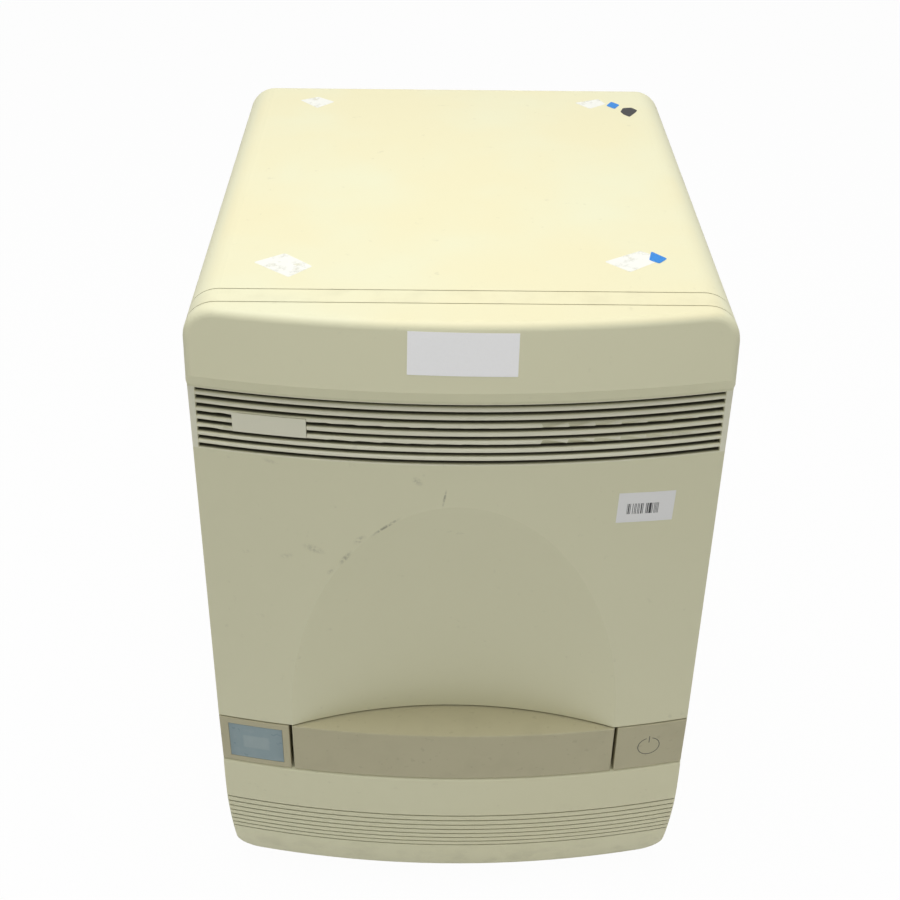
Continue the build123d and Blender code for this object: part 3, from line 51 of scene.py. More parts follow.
bpy.ops.object.select_all(action="DESELECT")

# Moulded casing: cover, front ring, door, lower bezel, bare nameplate and fan cowl are moulded in one
# ivory plastic with a fine spark-eroded skin. It has yellowed on top, and carries smudges, scuffs and
# dust from years on a laboratory bench.


def ink(red, green, blue):
    """Colour as it shows on a screen, 0 to 255, turned into the linear colour that a shader takes."""
    parts = [part / 255 for part in (red, green, blue)]
    linear = [part / 12.92 if part <= 0.04045 else ((part + 0.055) / 1.055) ** 2.4 for part in parts]
    return (*linear, 1.0)


def feed(tree, socket, value):
    """Join a wire to a socket, or set the socket to a plain number or colour."""
    if isinstance(value, Wire):
        tree.links.new(value.socket, socket)
    else:
        socket.default_value = value


class Wire:
    """One output in a node tree. Arithmetic on wires adds Math nodes."""

    def __init__(self, tree, socket=None):
        self.tree = tree
        self.socket = socket

    def node(self, kind, settings=None, inputs=None, output=0):
        """Add a node, set it up, feed its inputs and return one of its outputs."""
        new = self.tree.nodes.new("ShaderNode" + kind)
        for name, value in (settings or {}).items():
            setattr(new, name, value)
        for name, value in (inputs or {}).items():
            feed(self.tree, new.inputs[name], value)
        return Wire(self.tree, new.outputs[output])

    def math(self, operation, *others):
        """Math node on this wire, followed by other wires or numbers."""
        return self.node("Math", {"operation": operation}, dict(enumerate((self, *others))))

    def __add__(self, other):
        return self.math("ADD", other)

    __radd__ = __add__

    def __sub__(self, other):
        return self.math("SUBTRACT", other)

    def __rsub__(self, other):
        return self.node("Math", {"operation": "SUBTRACT"}, {0: other, 1: self})

    def __mul__(self, other):
        return self.math("MULTIPLY", other)

    __rmul__ = __mul__

    def __truediv__(self, other):
        return self.math("DIVIDE", other)

    def rise(self, low, high):
        """0 below low, 1 above high, smooth between; low above high turns it round."""
        if low > high:
            return 1 - self.rise(high, low)
        settings = {"interpolation_type": "SMOOTHSTEP"}
        return self.node("MapRange", settings, {"Value": self, "From Min": low, "From Max": high})

    def between(self, low, high, edge):
        """1 from low to high, falling to 0 over an edge outside them."""
        return self.rise(low - edge, low) * self.rise(high + edge, high)

    def noise(self, scale, detail=2.0, stretch=None):
        """Noise from 0 to 1 over this place, with its middle near 0.5."""
        place = self
        if stretch:
            place = self.node("Mapping", {}, {"Vector": self, "Scale": stretch})
        return self.node("TexNoise", {}, {"Vector": place, "Scale": scale, "Detail": detail})

    def near(self, centre, radius):
        """1 at a centre, falling to 0 at the radius."""
        distance = self.node("VectorMath", {"operation": "DISTANCE"}, {0: self, 1: centre}, "Value")
        return distance.rise(radius, 0.0)

    def axes(self):
        """The three parts of a place as separate wires."""
        parts = self.node("SeparateXYZ", {}, {"Vector": self}).socket.node
        return [Wire(self.tree, output) for output in parts.outputs]


class Finish:
    """A material under construction, with its place in metres, its colour and its roughness."""

    def __init__(self, name, colour, roughness=0.5, metallic=0.0):
        self.material = bpy.data.materials.new(name)
        self.material.use_nodes = True
        self.tree = self.material.node_tree
        self.shader = self.tree.nodes["Principled BSDF"]
        self.shader.inputs["Metallic"].default_value = metallic
        self.place = Wire(self.tree).node("TexCoord", output="Object")
        self.colour = colour
        self.roughness = roughness

    def tint(self, mask, strength, colour):
        """Lay a colour over the material at this strength where the mask is 1."""
        first, second, result = 6, 7, 2  # the Mix node's sockets for colours
        inputs = {"Factor": mask * strength, first: self.colour, second: colour}
        self.colour = self.place.node("Mix", {"data_type": "RGBA"}, inputs, result)

    def done(self, height=None, depth=0.0, **others):
        """Feed the shader its colour, roughness, bumps and other sockets, and return the material."""
        feed(self.tree, self.shader.inputs["Base Color"], self.colour)
        feed(self.tree, self.shader.inputs["Roughness"], self.roughness)
        if height is not None:
            bump = self.place.node("Bump", {}, {"Height": height, "Distance": depth, "Strength": 1.0})
            feed(self.tree, self.shader.inputs["Normal"], bump)
        for name, value in others.items():
            feed(self.tree, self.shader.inputs[name.replace("_", " ")], value)
        return self.material


def dress(material, *names):
    """Give CAD nodes a material."""
    for name in names:
        nodes[name].data.materials.clear()
        nodes[name].data.materials.append(material)


ivory = ink(225, 223, 190)
yellowed = ink(228, 219, 178)
grime = ink(96, 90, 72)
# Pale tint for the louvre ribs: a painted highlight
painted_rib_highlight = ink(246, 245, 232)
groove_shadow = ink(62, 58, 46)
scuff_grey = ink(74, 72, 58)

# Where the casing is aged, in metres: under its top, over the bench and on the front ring
cover_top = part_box("main_cover")[1].z
top_from, top_full = cover_top - 0.004, cover_top - 0.0005
splash_from, splash_full = 0.060, 0.010
ring_band = (-0.1735, -0.1565)
ring_edge = 0.003

# The front bows round a vertical axis. The door panel leans back from the bench up, and the bezel swells.
cover_front = solid_bounds[0][1]
bow_radius = 0.790
panel_foot = -0.2334
panel_slope = 0.0717
swell_height = 0.093
swell_radius = 0.230

# Bands of louvre grooves in the door and of fine grooves in the bezel
louvre_band = (0.3925, 0.4357)
bezel_band = (0.0430, 0.0850)
band_edge = 0.0006
door_half_width = 0.1664

# Scuffs on the door: middle in metres, half length, half width, slope in degrees and strength
door_scuffs = (
    ((-0.0470, 0.3445), 0.0155, 0.0016, 38.6, 0.62),
    ((-0.0640, 0.3335), 0.0065, 0.0030, 40.0, 0.34),
    ((-0.0738, 0.3183), 0.0090, 0.0026, 54.0, 0.40),
    ((-0.0836, 0.3070), 0.0050, 0.0024, 48.0, 0.26),
    ((-0.0092, 0.3676), 0.0090, 0.0011, 80.0, 0.55),
    ((-0.0264, 0.3800), 0.0055, 0.0034, -40.0, 0.26),
    ((-0.0945, 0.3236), 0.0100, 0.0040, -18.0, 0.26),
    ((-0.1130, 0.3160), 0.0070, 0.0030, 20.0, 0.14),
    ((-0.1200, 0.3882), 0.0070, 0.0024, -14.0, 0.16),
)
scuff_reach_back = 0.15

shell = Finish("ivory_moulding", ivory)
place = shell.place
x, y, z = place.axes()
blotch = place.noise(scale=55.0, detail=5.0)
age = place.noise(scale=7.0, detail=3.0)
cloud = place.noise(scale=3.2, detail=2.0)
shell.tint(z.rise(top_from, top_full) * age.rise(0.38, 0.66), 0.60, yellowed)
shell.tint(cloud.rise(0.45, 0.75), 0.18, yellowed)
shell.tint(z.rise(splash_from, splash_full) * blotch.rise(0.45, 0.70), 0.14, grime)
shell.tint(y.between(*ring_band, ring_edge) * blotch.rise(0.40, 0.72), 0.07, grime)

# Louvre grooves are painted dark inside as painted shade, and their ribs are painted pale as a painted
# highlight
bow = x * x / (2 * bow_radius)
sunk = y - bow - z * panel_slope - panel_foot
in_louvres = z.between(*louvre_band, band_edge)
on_door = x.math("ABSOLUTE").rise(door_half_width + 0.0004, door_half_width) * sunk.rise(0.0085, 0.0075)
shell.tint(sunk.rise(0.0016, 0.0008) * in_louvres, 0.45, painted_rib_highlight)
shell.tint(sunk.rise(0.0012, 0.0040) * in_louvres * on_door, 0.92, groove_shadow)

# The bezel's fine grooves have dark floors: painted shade
swell = (z - swell_height) * (z - swell_height) / (2 * swell_radius)
sunk = y - bow - swell - cover_front
groove_floor = sunk.rise(0.0005, 0.0012) * sunk.rise(0.0022, 0.0018)
shell.tint(groove_floor * z.between(*bezel_band, band_edge), 0.75, groove_shadow)

# Specks all over, and the scuffs, each a long thin smear broken up by streaks
specks = place.noise(scale=150.0, detail=6.0)
shell.tint(specks.rise(0.64, 0.76) * blotch.rise(0.42, 0.65), 0.12, grime)
streaks = place.noise(scale=520.0, detail=5.0).rise(0.30, 0.62)
for (across, up), length, width, slope, strength in door_scuffs:
    along_scuff = {
        "Vector": place,
        "Location": (across, cover_front, up),
        "Rotation": (0, -radians(slope), 0),
        "Scale": (length, scuff_reach_back, width),
    }
    smear = place.node("Mapping", {"vector_type": "TEXTURE"}, along_scuff).near((0, 0, 0), 1.0)
    shell.tint(smear * streaks, strength, scuff_grey)

skin = place.noise(scale=1900.0, detail=3.0)
ripple = place.noise(scale=95.0, detail=2.0)
shell.roughness = 0.50 + 0.10 * blotch
dress(
    shell.done(height=skin * 0.65 + ripple * 0.35, depth=0.00006, Specular_IOR_Level=0.4),
    "main_cover",
    "front_frame",
    "access_door",
    "lower_bezel",
    "nameplate_blank",
    "fan_cowl",
)


# Front row: the status panel, tray front and power button are moulded in a darker warm grey, a little
# glossier where hands touch them.
row_grey = Finish("grey_moulding", ink(190, 184, 152))
place = row_grey.place
touched = place.noise(scale=42.0, detail=5.0)
specks = place.noise(scale=210.0, detail=5.0)
row_grey.tint(touched.rise(0.48, 0.74), 0.08, ink(128, 122, 98))
row_grey.tint(specks.rise(0.62, 0.72), 0.12, ink(90, 86, 70))
row_grey.roughness = 0.46 + 0.12 * touched
row_skin = place.noise(scale=1700.0, detail=3.0)
dress(
    row_grey.done(height=row_skin, depth=0.00005, Specular_IOR_Level=0.4),
    "status_panel",
    "tray_front",
    "power_button",
)


# Status window: a blue-grey lens film stuck in its recess. A faint paler patch in the middle is where
# the lamps shine through, and the film is darker towards its ends.
window_low, window_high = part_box("status_window")
window_middle = (window_low + window_high) / 2
film = Finish("lens_film", ink(139, 160, 164))
x, y, z = film.place.axes()
from_middle_x = (x - window_middle.x).math("ABSOLUTE")
from_middle_z = (z - window_middle.z).math("ABSOLUTE")
lamp_patch = from_middle_x.rise(0.0105, 0.0085) * from_middle_z.rise(0.0070, 0.0050)
haze = film.place.noise(scale=120.0, detail=4.0)
film.tint(lamp_patch, 0.30, ink(180, 192, 188))
film.tint(from_middle_x.rise(0.0125, 0.0195), 0.30, ink(112, 132, 138))
film.tint(haze.rise(0.45, 0.75), 0.18, ink(176, 188, 188))
film.roughness = 0.20 + 0.22 * haze
dress(film.done(height=haze, depth=0.00002), "status_window")


# Zinc-coated sheet: chassis, pan, rear panel and shelves are bent from steel sheet whose coating shows
# its crystals.
zinc = Finish("zinc_coated_sheet", ink(176, 180, 184), metallic=1.0)
crystals = zinc.place.node("TexVoronoi", {}, {"Vector": zinc.place, "Scale": 130.0}, "Color")
crystal_grey = crystals.node("RGBToBW", {}, {"Color": crystals})
rubs = zinc.place.noise(scale=240.0, detail=3.0)
zinc.tint(crystal_grey.rise(0.2, 0.8), 0.28, ink(150, 155, 160))
zinc.tint(rubs.rise(0.60, 0.72), 0.15, ink(120, 124, 128))
zinc.roughness = 0.38 + 0.14 * crystal_grey
dress(
    zinc.done(height=crystal_grey * 0.5 + rubs * 0.5, depth=0.00003),
    "base_pan",
    "chassis_left",
    "chassis_right",
    "upper_deck",
    "block_frame",
    "door_liner",
    "slide_rails_outer",
    "rear_panel",
    "power_supply",
)


# Ground and turned steel: hinge parts, latch, rods, slides, lamp lever and the data socket's shell are
# machined bright, with fine grinding marks along them.
steel = Finish("ground_steel", ink(188, 189, 192), metallic=1.0)
grinding = steel.place.noise(scale=900.0, detail=2.0, stretch=(1.0, 1.0, 0.08))
steel.tint(grinding.rise(0.4, 0.7), 0.25, ink(150, 150, 152))
steel.roughness = 0.22 + 0.18 * grinding
ground_steel = steel.done(height=grinding, depth=0.00001)
dress(
    ground_steel,
    "door_hinge_brackets",
    "door_hinge_pins",
    "door_latch",
    "latch_pin",
    "lamp_lever",
    "guide_rods",
    "slide_rails_inner",
    "usb_port",
)


# Lead screw: a rolled steel rod that drives the heated cover. Its fine thread winds round the rod as a
# bump, and its roots are painted darker as painted shade.
screw_low, screw_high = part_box("lead_screw")
screw_axis = (screw_low + screw_high) / 2
thread_step = 0.002
thread_depth = 0.0005
rolled = Finish("rolled_thread", ink(170, 171, 175), roughness=0.3, metallic=1.0)
x, y, z = rolled.place.axes()
angle = (y - screw_axis.y).math("ARCTAN2", x - screw_axis.x)
turns = z / thread_step - angle / (2 * pi)
crest = turns.math("PINGPONG", 0.5) * 2
# Painted shade in the thread roots
rolled.tint(crest.rise(0.5, 0.1), 0.6, ink(96, 96, 98))
dress(rolled.done(height=crest, depth=thread_depth), "lead_screw")


# Aluminium: cast and blasted for the carriers, machined bright for the sample block, anodised dark for
# the tray and the heated cover.
def aluminium(name, colour, deep, grain_scale, roughness, spread, depth):
    """Aluminium with a fine grain between two greys."""
    metal = Finish(name, colour, metallic=1.0)
    grain = metal.place.noise(grain_scale, detail=3.0)
    cloud = metal.place.noise(scale=30.0, detail=3.0)
    metal.tint(grain.rise(0.40, 0.68), 0.30, deep)
    metal.tint(cloud.rise(0.50, 0.75), 0.20, deep)
    metal.roughness = roughness + spread * grain
    return metal.done(height=grain, depth=depth)


cast = aluminium(
    "blasted_aluminium",
    ink(186, 188, 190),
    ink(150, 152, 155),
    grain_scale=1500.0,
    roughness=0.38,
    spread=0.2,
    depth=0.00003,
)
bright = aluminium(
    "machined_aluminium",
    ink(214, 216, 218),
    ink(186, 188, 192),
    grain_scale=700.0,
    roughness=0.18,
    spread=0.2,
    depth=0.00001,
)
dark = aluminium(
    "anodised_aluminium",
    ink(84, 86, 90),
    ink(60, 62, 66),
    grain_scale=1300.0,
    roughness=0.34,
    spread=0.15,
    depth=0.00002,
)
dress(cast, "heat_sink", "cover_carrier", "camera_mount", "lamp_housing")
dress(bright, "sample_block")
dress(dark, "tray_carriage", "plate_holder", "heated_cover")


# Black parts: the optics are painted matte black inside and out, fans and sockets are black plastic,
# and the feet are rubber with dust on them.
def blackened(name, colour, dust, grain_scale, roughness, depth):
    """Black finish with a fine grain and a little dust."""
    black = Finish(name, colour)
    grain = black.place.noise(grain_scale, detail=3.0)
    settled = black.place.noise(scale=60.0, detail=5.0)
    black.tint(settled.rise(0.50, 0.80), 0.25, dust)
    black.roughness = roughness + 0.15 * grain
    return black.done(height=grain, depth=depth)


paint = blackened("matte_black_paint", ink(38, 38, 40), ink(70, 70, 70), 1400.0, 0.50, 0.00004)
plastic = blackened("black_plastic", ink(34, 34, 36), ink(78, 76, 72), 1700.0, 0.42, 0.00005)
rubber = blackened("foot_rubber", ink(30, 30, 31), ink(96, 92, 84), 800.0, 0.72, 0.00008)
dress(
    paint,
    "optics_tower",
    "camera_body",
    "camera_lens",
    "filter_wheel",
    "filter_wheel_motor",
    "cover_motor",
)
dress(
    plastic,
    "block_fan_frame",
    "block_fan_rotor",
    "exhaust_fan_frame",
    "exhaust_fan_rotor",
    "fuse_holders",
    "mains_inlet",
    "power_switch",
    "switch_plunger",
    "tray_catch",
)
dress(rubber, "feet")


# Peltier modules: fired white alumina plates, a little chalky, clamped between the sample block and
# the heat sink.
ceramic = Finish("white_ceramic", ink(226, 224, 216), roughness=0.45)
chalk = ceramic.place.noise(scale=400.0, detail=4.0)
ceramic.tint(chalk.rise(0.45, 0.75), 0.25, ink(196, 192, 182))
dress(ceramic.done(height=chalk, depth=0.00002), "peltier_modules")


# Circuit boards: green solder mask over copper tracks, with black chips on the faces that stand out.
# They are screwed upright on the chassis and behind the status panel.
def circuit_board(name, face):
    """Solder mask with tracks; what stands out beyond the face, towards the right, is black."""
    board = Finish(name, ink(24, 92, 52))
    place = board.place
    brick = {"Vector": place, "Scale": 180.0, "Mortar Size": 0.03}
    tracks = place.node("TexBrick", {"offset": 0.37, "squash": 0.6}, brick, "Fac")
    cells = place.noise(scale=90.0, detail=2.0)
    solder = place.node("TexVoronoi", {}, {"Vector": place, "Scale": 210.0}, "Distance")
    board.tint(tracks * cells.rise(0.4, 0.6), 0.6, ink(60, 140, 84))
    board.tint(solder.rise(0.16, 0.10), 0.8, ink(196, 190, 160))
    board.tint(place.axes()[0].rise(face, face + 0.0002), 1.0, ink(30, 30, 32))
    board.roughness = 0.30 + 0.25 * cells
    return board.done(height=tracks, depth=0.00003)


chip_height = 0.0039
beyond_status_board = 0.01  # its face stays green all over
control_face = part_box("control_board")[1].x - chip_height
status_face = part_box("status_board")[1].x + beyond_status_board
dress(circuit_board("control_board_mask", control_face), "control_board")
dress(circuit_board("status_board_mask", status_face), "status_board")


# Optical glass: the field lens, beam splitter and lamp are clear and polished, the filters carry a
# coloured coating. All have a little dust.
def glass(name, colour, coat, roughness):
    """Glass with a little dust, tinted by its coating."""
    pane = Finish(name, colour)
    dust = pane.place.noise(scale=320.0, detail=4.0)
    pane.tint(dust.rise(0.55, 0.8), 0.3, coat)
    pane.roughness = roughness + 0.06 * dust
    return pane.done(height=dust, depth=0.000005, Transmission_Weight=0.85, IOR=1.5)


clear = glass("clear_glass", ink(226, 238, 240), ink(200, 214, 220), roughness=0.03)
coated = glass("coated_glass", ink(214, 148, 96), ink(120, 170, 190), roughness=0.05)
dress(clear, "field_lens", "beam_splitter", "halogen_lamp")
dress(coated, "excitation_filter", "emission_filters")


# Fasteners: pan-head steel screws with a cross recess hold the rear panel, the fan cowl, the mains
# inlet and the upper deck. One is modelled and then copied.
head_radius = 0.0028
head_height = 0.0016
recess_size = (head_radius * 1.15, head_radius * 0.24, head_height)
bpy.ops.mesh.primitive_cylinder_add(
    vertices=24, radius=head_radius, depth=head_height, location=(0, 0, head_height / 2)
)
head = bpy.context.object
bpy.ops.object.transform_apply()
bpy.ops.object.mode_set(mode="EDIT")
bpy.ops.mesh.select_all(action="DESELECT")
bpy.ops.mesh.select_mode(type="EDGE")
bpy.ops.object.mode_set(mode="OBJECT")
for edge in head.data.edges:
    edge.select = all(head.data.vertices[index].co.z > head_height * 0.9 for index in edge.vertices)
bpy.ops.object.mode_set(mode="EDIT")
bpy.ops.mesh.bevel(offset=head_height * 0.55, segments=3, affect="EDGES")
bpy.ops.object.mode_set(mode="OBJECT")
for turned_by in (0, 90):
    bpy.ops.mesh.primitive_cube_add(
        size=1, location=(0, 0, head_height), rotation=(0, 0, radians(turned_by))
    )
    cutter = bpy.context.object
    cutter.scale = recess_size
    bpy.ops.object.transform_apply()
    bpy.ops.object.select_all(action="DESELECT")
    bpy.context.view_layer.objects.active = head
    recess = head.modifiers.new("recess", "BOOLEAN")
    recess.object = cutter
    bpy.ops.object.modifier_apply(modifier="recess")
    bpy.data.objects.remove(cutter)
head.data.materials.clear()
head.data.materials.append(ground_steel)
head.select_set(True)
bpy.ops.object.shade_smooth_by_angle(angle=radians(35))
head.select_set(False)


def fasten(name, point, direction, turned_by):
    """Seat a copy of the screw at a point, its head facing the direction."""
    copy = bpy.data.objects.new(name, head.data.copy())
    bpy.context.collection.objects.link(copy)
    facing = Vector(direction).to_track_quat("Z", "Y").to_matrix().to_4x4()
    twist = Matrix.Rotation(radians(turned_by), 4, "Z")
    copy.data.transform(Matrix.Translation(point) @ facing @ twist)
    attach(copy, "casing")


backwards, upwards = (0, 1, 0), (0, 0, 1)
panel_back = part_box("rear_panel")[1].y
panel_edge_x, panel_middle_x = 0.131, 0.050
panel_heights = (0.030, 0.170, 0.310, 0.450)
cowl_low, cowl_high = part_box("fan_cowl")
cowl_middle = (cowl_low.z + cowl_high.z) / 2
cowl_x, cowl_step = 0.058, 0.0575
inlet_low, inlet_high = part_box("mains_inlet")
inlet_middle = (inlet_low + inlet_high) / 2
inlet_ear = 0.0185
deck_low, deck_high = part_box("upper_deck")
deck_x, deck_margin = 0.110, 0.008
twist_step = 37
seats = []
for side in (-1, 1):
    seats += [((side * panel_edge_x, panel_back, up), backwards) for up in panel_heights]
    seats += [((side * panel_middle_x, panel_back, panel_heights[-1]), backwards)]
    for step in (-cowl_step, cowl_step):
        seats += [((side * cowl_x, cowl_high.y, cowl_middle + step), backwards)]
    seats += [((inlet_middle.x + side * inlet_ear, inlet_high.y, inlet_middle.z), backwards)]
    for back in (deck_low.y + deck_margin, deck_high.y - deck_margin):
        seats += [((side * deck_x, back, deck_high.z), upwards)]
for number, (point, direction) in enumerate(seats):
    fasten(f"screw_{number + 1}", Vector(point), direction, twist_step * number)
bpy.data.objects.remove(head)


# Paper labels: a blank white label on the brow and a small one with a plain bar pattern on the door's
# right. Both are cut from self-adhesive paper and follow the curve they are stuck to.
def stick(name, centre, size, tilt, material):
    """Wrap a thin rectangle on the door's front, so that it swings with the door."""
    glue_line = 0.00003
    paper_thickness = 0.00012
    bpy.ops.mesh.primitive_grid_add(x_subdivisions=28, y_subdivisions=12, size=1)
    piece = bpy.context.object
    piece.name = name
    piece.scale = (*size, 1)
    bpy.ops.object.transform_apply(scale=True)
    piece.rotation_euler = (pi / 2, radians(tilt), 0)
    piece.location = (centre.x, cover_front - 0.01, centre.z)
    bpy.ops.object.transform_apply()
    wrap = piece.modifiers.new("wrap", "SHRINKWRAP")
    wrap.target = nodes["access_door"]
    wrap.wrap_method = "PROJECT"
    wrap.use_project_y = True
    wrap.use_positive_direction = True
    wrap.use_negative_direction = True
    wrap.offset = glue_line
    wall = piece.modifiers.new("wall", "SOLIDIFY")
    wall.thickness = paper_thickness
    wall.offset = 1.0
    for modifier in ("wrap", "wall"):
        bpy.ops.object.modifier_apply(modifier=modifier)
    piece.data.materials.append(material)
    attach(piece, "door")
    piece.select_set(False)


paper = Finish("label_paper", ink(254, 254, 254), roughness=0.35)
fibres = paper.place.noise(scale=700.0, detail=4.0)
paper.tint(fibres.rise(0.4, 0.8), 0.06, ink(214, 214, 210))
label_paper = paper.done(height=fibres, depth=0.00001)
stick("blank_label", Vector((0.0005, 0, 0.4715)), (0.0668, 0.0268), 0.7, label_paper)

code_centre = Vector((0.1215, 0.0, 0.3560))
code_size = (0.0375, 0.0225)
code_tilt = 2.0
bar_width = 0.00042
bars_across = (-0.0124, 0.0099)
bars_upward = (-0.0049, 0.0029)
bar_edge = 0.0001
bars = Finish("bar_label_paper", ink(238, 238, 236), roughness=0.35)
on_label = {
    "Vector": bars.place,
    "Location": code_centre,
    "Rotation": (0, radians(code_tilt), 0),
}
across, _, upward = bars.place.node("Mapping", {"vector_type": "TEXTURE"}, on_label).axes()
stripe = (across / bar_width).math("FLOOR")
chance = stripe.node("TexWhiteNoise", {"noise_dimensions": "1D"}, {"W": stripe}, "Value")
printed = across.between(*bars_across, bar_edge) * upward.between(*bars_upward, bar_edge)
bars.tint(chance.rise(0.52, 0.53) * printed, 1.0, ink(40, 40, 42))
stick("bar_label", code_centre, code_size, code_tilt, bars.done())


# Power symbol: the usual ring with a bar, pad-printed in thin dark grey ink on the power button, which
# carries it as it is pressed.
symbol_middle = Vector((0.1433, 0.0, 0.1445))
symbol_radius = 0.0083
symbol_line = 0.0006
symbol_gap = radians(32)
bar_middle = symbol_radius * 0.80
bar_length = symbol_radius * 0.75
ink_lift = 0.00002
ink_thickness = 0.00006
print_grey = Finish("printed_grey", ink(92, 92, 84))
thin_ink = print_grey.place.noise(scale=900.0, detail=3.0)
print_grey.tint(thin_ink.rise(0.55, 0.8), 0.3, ink(130, 128, 112))
bpy.ops.mesh.primitive_circle_add(vertices=96, radius=symbol_radius)
symbol = bpy.context.object
symbol.name = "power_symbol"
bpy.ops.object.mode_set(mode="EDIT")
bpy.ops.mesh.select_all(action="SELECT")
bpy.ops.mesh.extrude_edges_move()
inner = (symbol_radius - symbol_line) / symbol_radius
bpy.ops.transform.resize(value=(inner, inner, 1))
bpy.ops.mesh.select_all(action="DESELECT")
bpy.ops.mesh.select_mode(type="FACE")
bpy.ops.object.mode_set(mode="OBJECT")
for face in symbol.data.polygons:
    in_gap = abs(face.center.x) < symbol_radius * sin(symbol_gap / 2)
    face.select = face.center.y > 0 and in_gap
bpy.ops.object.mode_set(mode="EDIT")
bpy.ops.mesh.delete(type="FACE")
bpy.ops.mesh.primitive_grid_add(x_subdivisions=2, y_subdivisions=12, size=1, location=(0, bar_middle, 0))
bpy.ops.transform.resize(value=(symbol_line, bar_length, 1))
bpy.ops.object.mode_set(mode="OBJECT")
symbol.rotation_euler = (pi / 2, 0, 0)
symbol.location = (symbol_middle.x, cover_front - 0.01, symbol_middle.z)
bpy.ops.object.transform_apply()
wrap = symbol.modifiers.new("wrap", "SHRINKWRAP")
wrap.target = nodes["power_button"]
wrap.wrap_method = "PROJECT"
wrap.use_project_y = True
wrap.offset = ink_lift
bpy.ops.object.modifier_apply(modifier="wrap")
wall = symbol.modifiers.new("wall", "SOLIDIFY")
wall.thickness = ink_thickness
wall.offset = 1.0
bpy.ops.object.modifier_apply(modifier="wall")
symbol.data.materials.append(print_grey.done())
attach(symbol, "power_key")
symbol.select_set(False)


# Tape remains on top: whitish film where paper tape was pulled off, scraps of blue masking tape and one
# of black tape, all pressed flat on the cover.
def scrap(name, corners, lift, thickness, material):
    """Lay a thin torn piece with these corners, in millimetres, on the cover."""
    torn_corner = 0.0012
    bpy.ops.mesh.primitive_circle_add(vertices=len(corners), radius=1, fill_type="NGON")
    piece = bpy.context.object
    piece.name = name
    for vertex, (across, back) in zip(piece.data.vertices, corners):
        vertex.co = (across / 1000, back / 1000, cover_top + lift)
    bpy.ops.object.mode_set(mode="EDIT")
    bpy.ops.mesh.select_all(action="SELECT")
    bpy.ops.mesh.normals_make_consistent(inside=False)
    bpy.ops.mesh.bevel(offset=torn_corner, offset_type="OFFSET", segments=2, affect="VERTICES")
    bpy.ops.object.mode_set(mode="OBJECT")
    if piece.data.polygons[0].normal.z < 0:
        piece.data.flip_normals()
    wall = piece.modifiers.new("wall", "SOLIDIFY")
    wall.thickness = thickness
    wall.offset = 1.0
    bpy.ops.object.modifier_apply(modifier="wall")
    piece.data.materials.append(material)
    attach(piece, "casing")
    piece.select_set(False)


residue_lift, residue_thickness = 0.00002, 0.00003
residue = Finish("tape_residue", ink(246, 246, 238), roughness=0.6)
worn = residue.place.noise(scale=160.0, detail=5.0)
cloud = residue.place.noise(scale=45.0, detail=3.0)
coverage = (worn * 0.5 + cloud * 0.5).rise(0.28, 0.50) * 0.84
residue_film = residue.done(height=worn, depth=0.00002, Alpha=coverage)
residue_corners = (
    ((-132, -121), (-113, -108), (-94, -126), (-108, -141)),
    ((92, -116), (117, -100), (131, -111), (107, -130)),
    ((-126, 167), (-112, 175), (-98, 164), (-111, 150)),
    ((97, 167), (117, 176), (122, 165), (108, 154)),
)
for number, corners in enumerate(residue_corners):
    scrap(f"tape_residue_{number + 1}", corners, residue_lift, residue_thickness, residue_film)

tape_lift = 0.00006
masking_thickness, vinyl_thickness = 0.00014, 0.00016
masking = Finish("blue_masking_tape", ink(30, 128, 208), roughness=0.55)
crepe = masking.place.noise(scale=900.0, detail=3.0, stretch=(1.0, 0.3, 1.0))
masking.tint(crepe.rise(0.4, 0.7), 0.30, ink(22, 96, 168))
blue_tape = masking.done(height=crepe, depth=0.00004)
blue_front = ((121, -113), (124, -101), (133, -111), (127, -118))
blue_rear = ((122, 161), (127, 170), (133, 163), (128, 154))
scrap("blue_tape_front", blue_front, tape_lift, masking_thickness, blue_tape)
scrap("blue_tape_rear", blue_rear, tape_lift, masking_thickness, blue_tape)

vinyl = Finish("black_tape", ink(9, 9, 10))
crease = vinyl.place.noise(scale=500.0, detail=3.0)
black_tape = vinyl.done(height=crease, depth=0.00003)
black_corners = ((132, 148), (135, 156), (142, 157), (146, 151), (143, 145), (138, 137), (134, 142))
scrap("black_tape_scrap", black_corners, tape_lift, vinyl_thickness, black_tape)


# Stage: a pale floor under a white surround, soft light from above and a weaker one from the front.
# Only the eye, mirrors and glass see the white; the object is lit by the lamps and a dimmer sky.
def rays_that_show(tree):
    """1 for rays from the camera, off gloss and through glass, 0 for those that light the object."""
    light_path = Wire(tree).node("LightPath").socket.node
    kinds = ("Is Camera Ray", "Is Glossy Ray", "Is Transmission Ray")
    seen, mirrored, through = (Wire(tree, light_path.outputs[kind]) for kind in kinds)
    return (seen + mirrored + through).math("MINIMUM", 1.0)


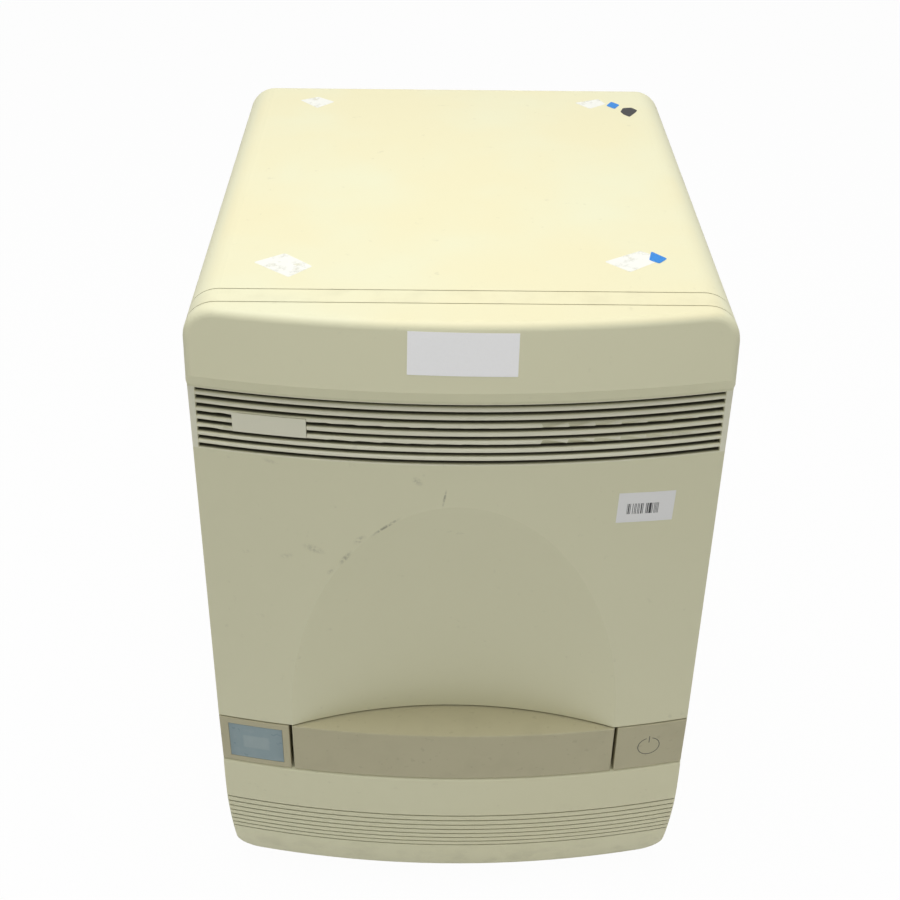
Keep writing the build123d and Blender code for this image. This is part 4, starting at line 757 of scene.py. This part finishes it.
floor_white = 0.97
backdrop = bpy.data.materials.new("stage_white")
backdrop.use_nodes = True
backdrop_tree = backdrop.node_tree
matte = backdrop_tree.nodes["Principled BSDF"]
matte.inputs["Base Color"].default_value = (0.86, 0.86, 0.85, 1)
matte.inputs["Roughness"].default_value = 0.9
stage = Wire(backdrop_tree)
white = stage.node("Emission", {}, {"Color": (1, 1, 1, 1), "Strength": 1.0})
share = rays_that_show(backdrop_tree) * floor_white
mixed = stage.node("MixShader", {}, {0: share, 1: Wire(backdrop_tree, matte.outputs[0]), 2: white})
feed(backdrop_tree, backdrop_tree.nodes["Material Output"].inputs["Surface"], mixed)
bpy.ops.mesh.primitive_plane_add(size=12, location=(0, 0, 0))
floor = bpy.context.object
floor.name = "floor"
floor.data.materials.append(backdrop)

sky_light = 0.33
sky_white = 0.988
world = bpy.data.worlds.new("studio")
bpy.context.scene.world = world
world.use_nodes = True
background = world.node_tree.nodes["Background"]
background.inputs["Color"].default_value = (1, 1, 1, 1)
strength = rays_that_show(world.node_tree) * (sky_white - sky_light) + sky_light
feed(world.node_tree, background.inputs["Strength"], strength)


def soft_light(name, place, aim, size, power):
    """Square lamp at a place, turned towards its aim."""
    bpy.ops.object.light_add(type="AREA", location=place)
    lamp = bpy.context.object
    lamp.name = name
    lamp.data.size = size
    lamp.data.energy = power
    lamp.rotation_euler = (Vector(aim) - Vector(place)).to_track_quat("-Z", "Y").to_euler()
    lamp.select_set(False)


soft_light("overhead_light", place=(-0.05, -0.12, 1.75), aim=(0, -0.05, 0.3), size=0.9, power=16.5)
soft_light("front_light", place=(0.3, -2.4, 1.1), aim=(0, 0, 0.25), size=1.6, power=4)


# Camera: the photographer stands in front of the bench and looks down on the instrument. Its place and
# turn, in metres and radians, and its focal length were fitted to the instrument's edges.
focal_pixels = 1334.26
picture_side = 900
picture_middle = (435.71, 456.56)
camera_place = Vector((-0.01971, -0.88597, 0.87928))
pitch, yaw, roll = 0.61418, 0.00679, 0.01227
forward = Vector((sin(yaw) * cos(pitch), cos(yaw) * cos(pitch), -sin(pitch)))
level = Vector((cos(yaw), -sin(yaw), 0))
upright = level.cross(forward)
camera_x = cos(roll) * level + sin(roll) * upright
camera_y = cos(roll) * upright - sin(roll) * level
turn = Matrix((camera_x, camera_y, -forward)).transposed().to_4x4()
bpy.ops.object.camera_add()
camera = bpy.context.object
camera.matrix_world = Matrix.Translation(camera_place) @ turn
camera.data.sensor_width = 36
camera.data.lens = focal_pixels / picture_side * camera.data.sensor_width
camera.data.shift_x = (picture_side / 2 - picture_middle[0]) / picture_side
camera.data.shift_y = (picture_middle[1] - picture_side / 2) / picture_side
bpy.context.scene.camera = camera
bpy.context.scene.view_settings.view_transform = "Standard"
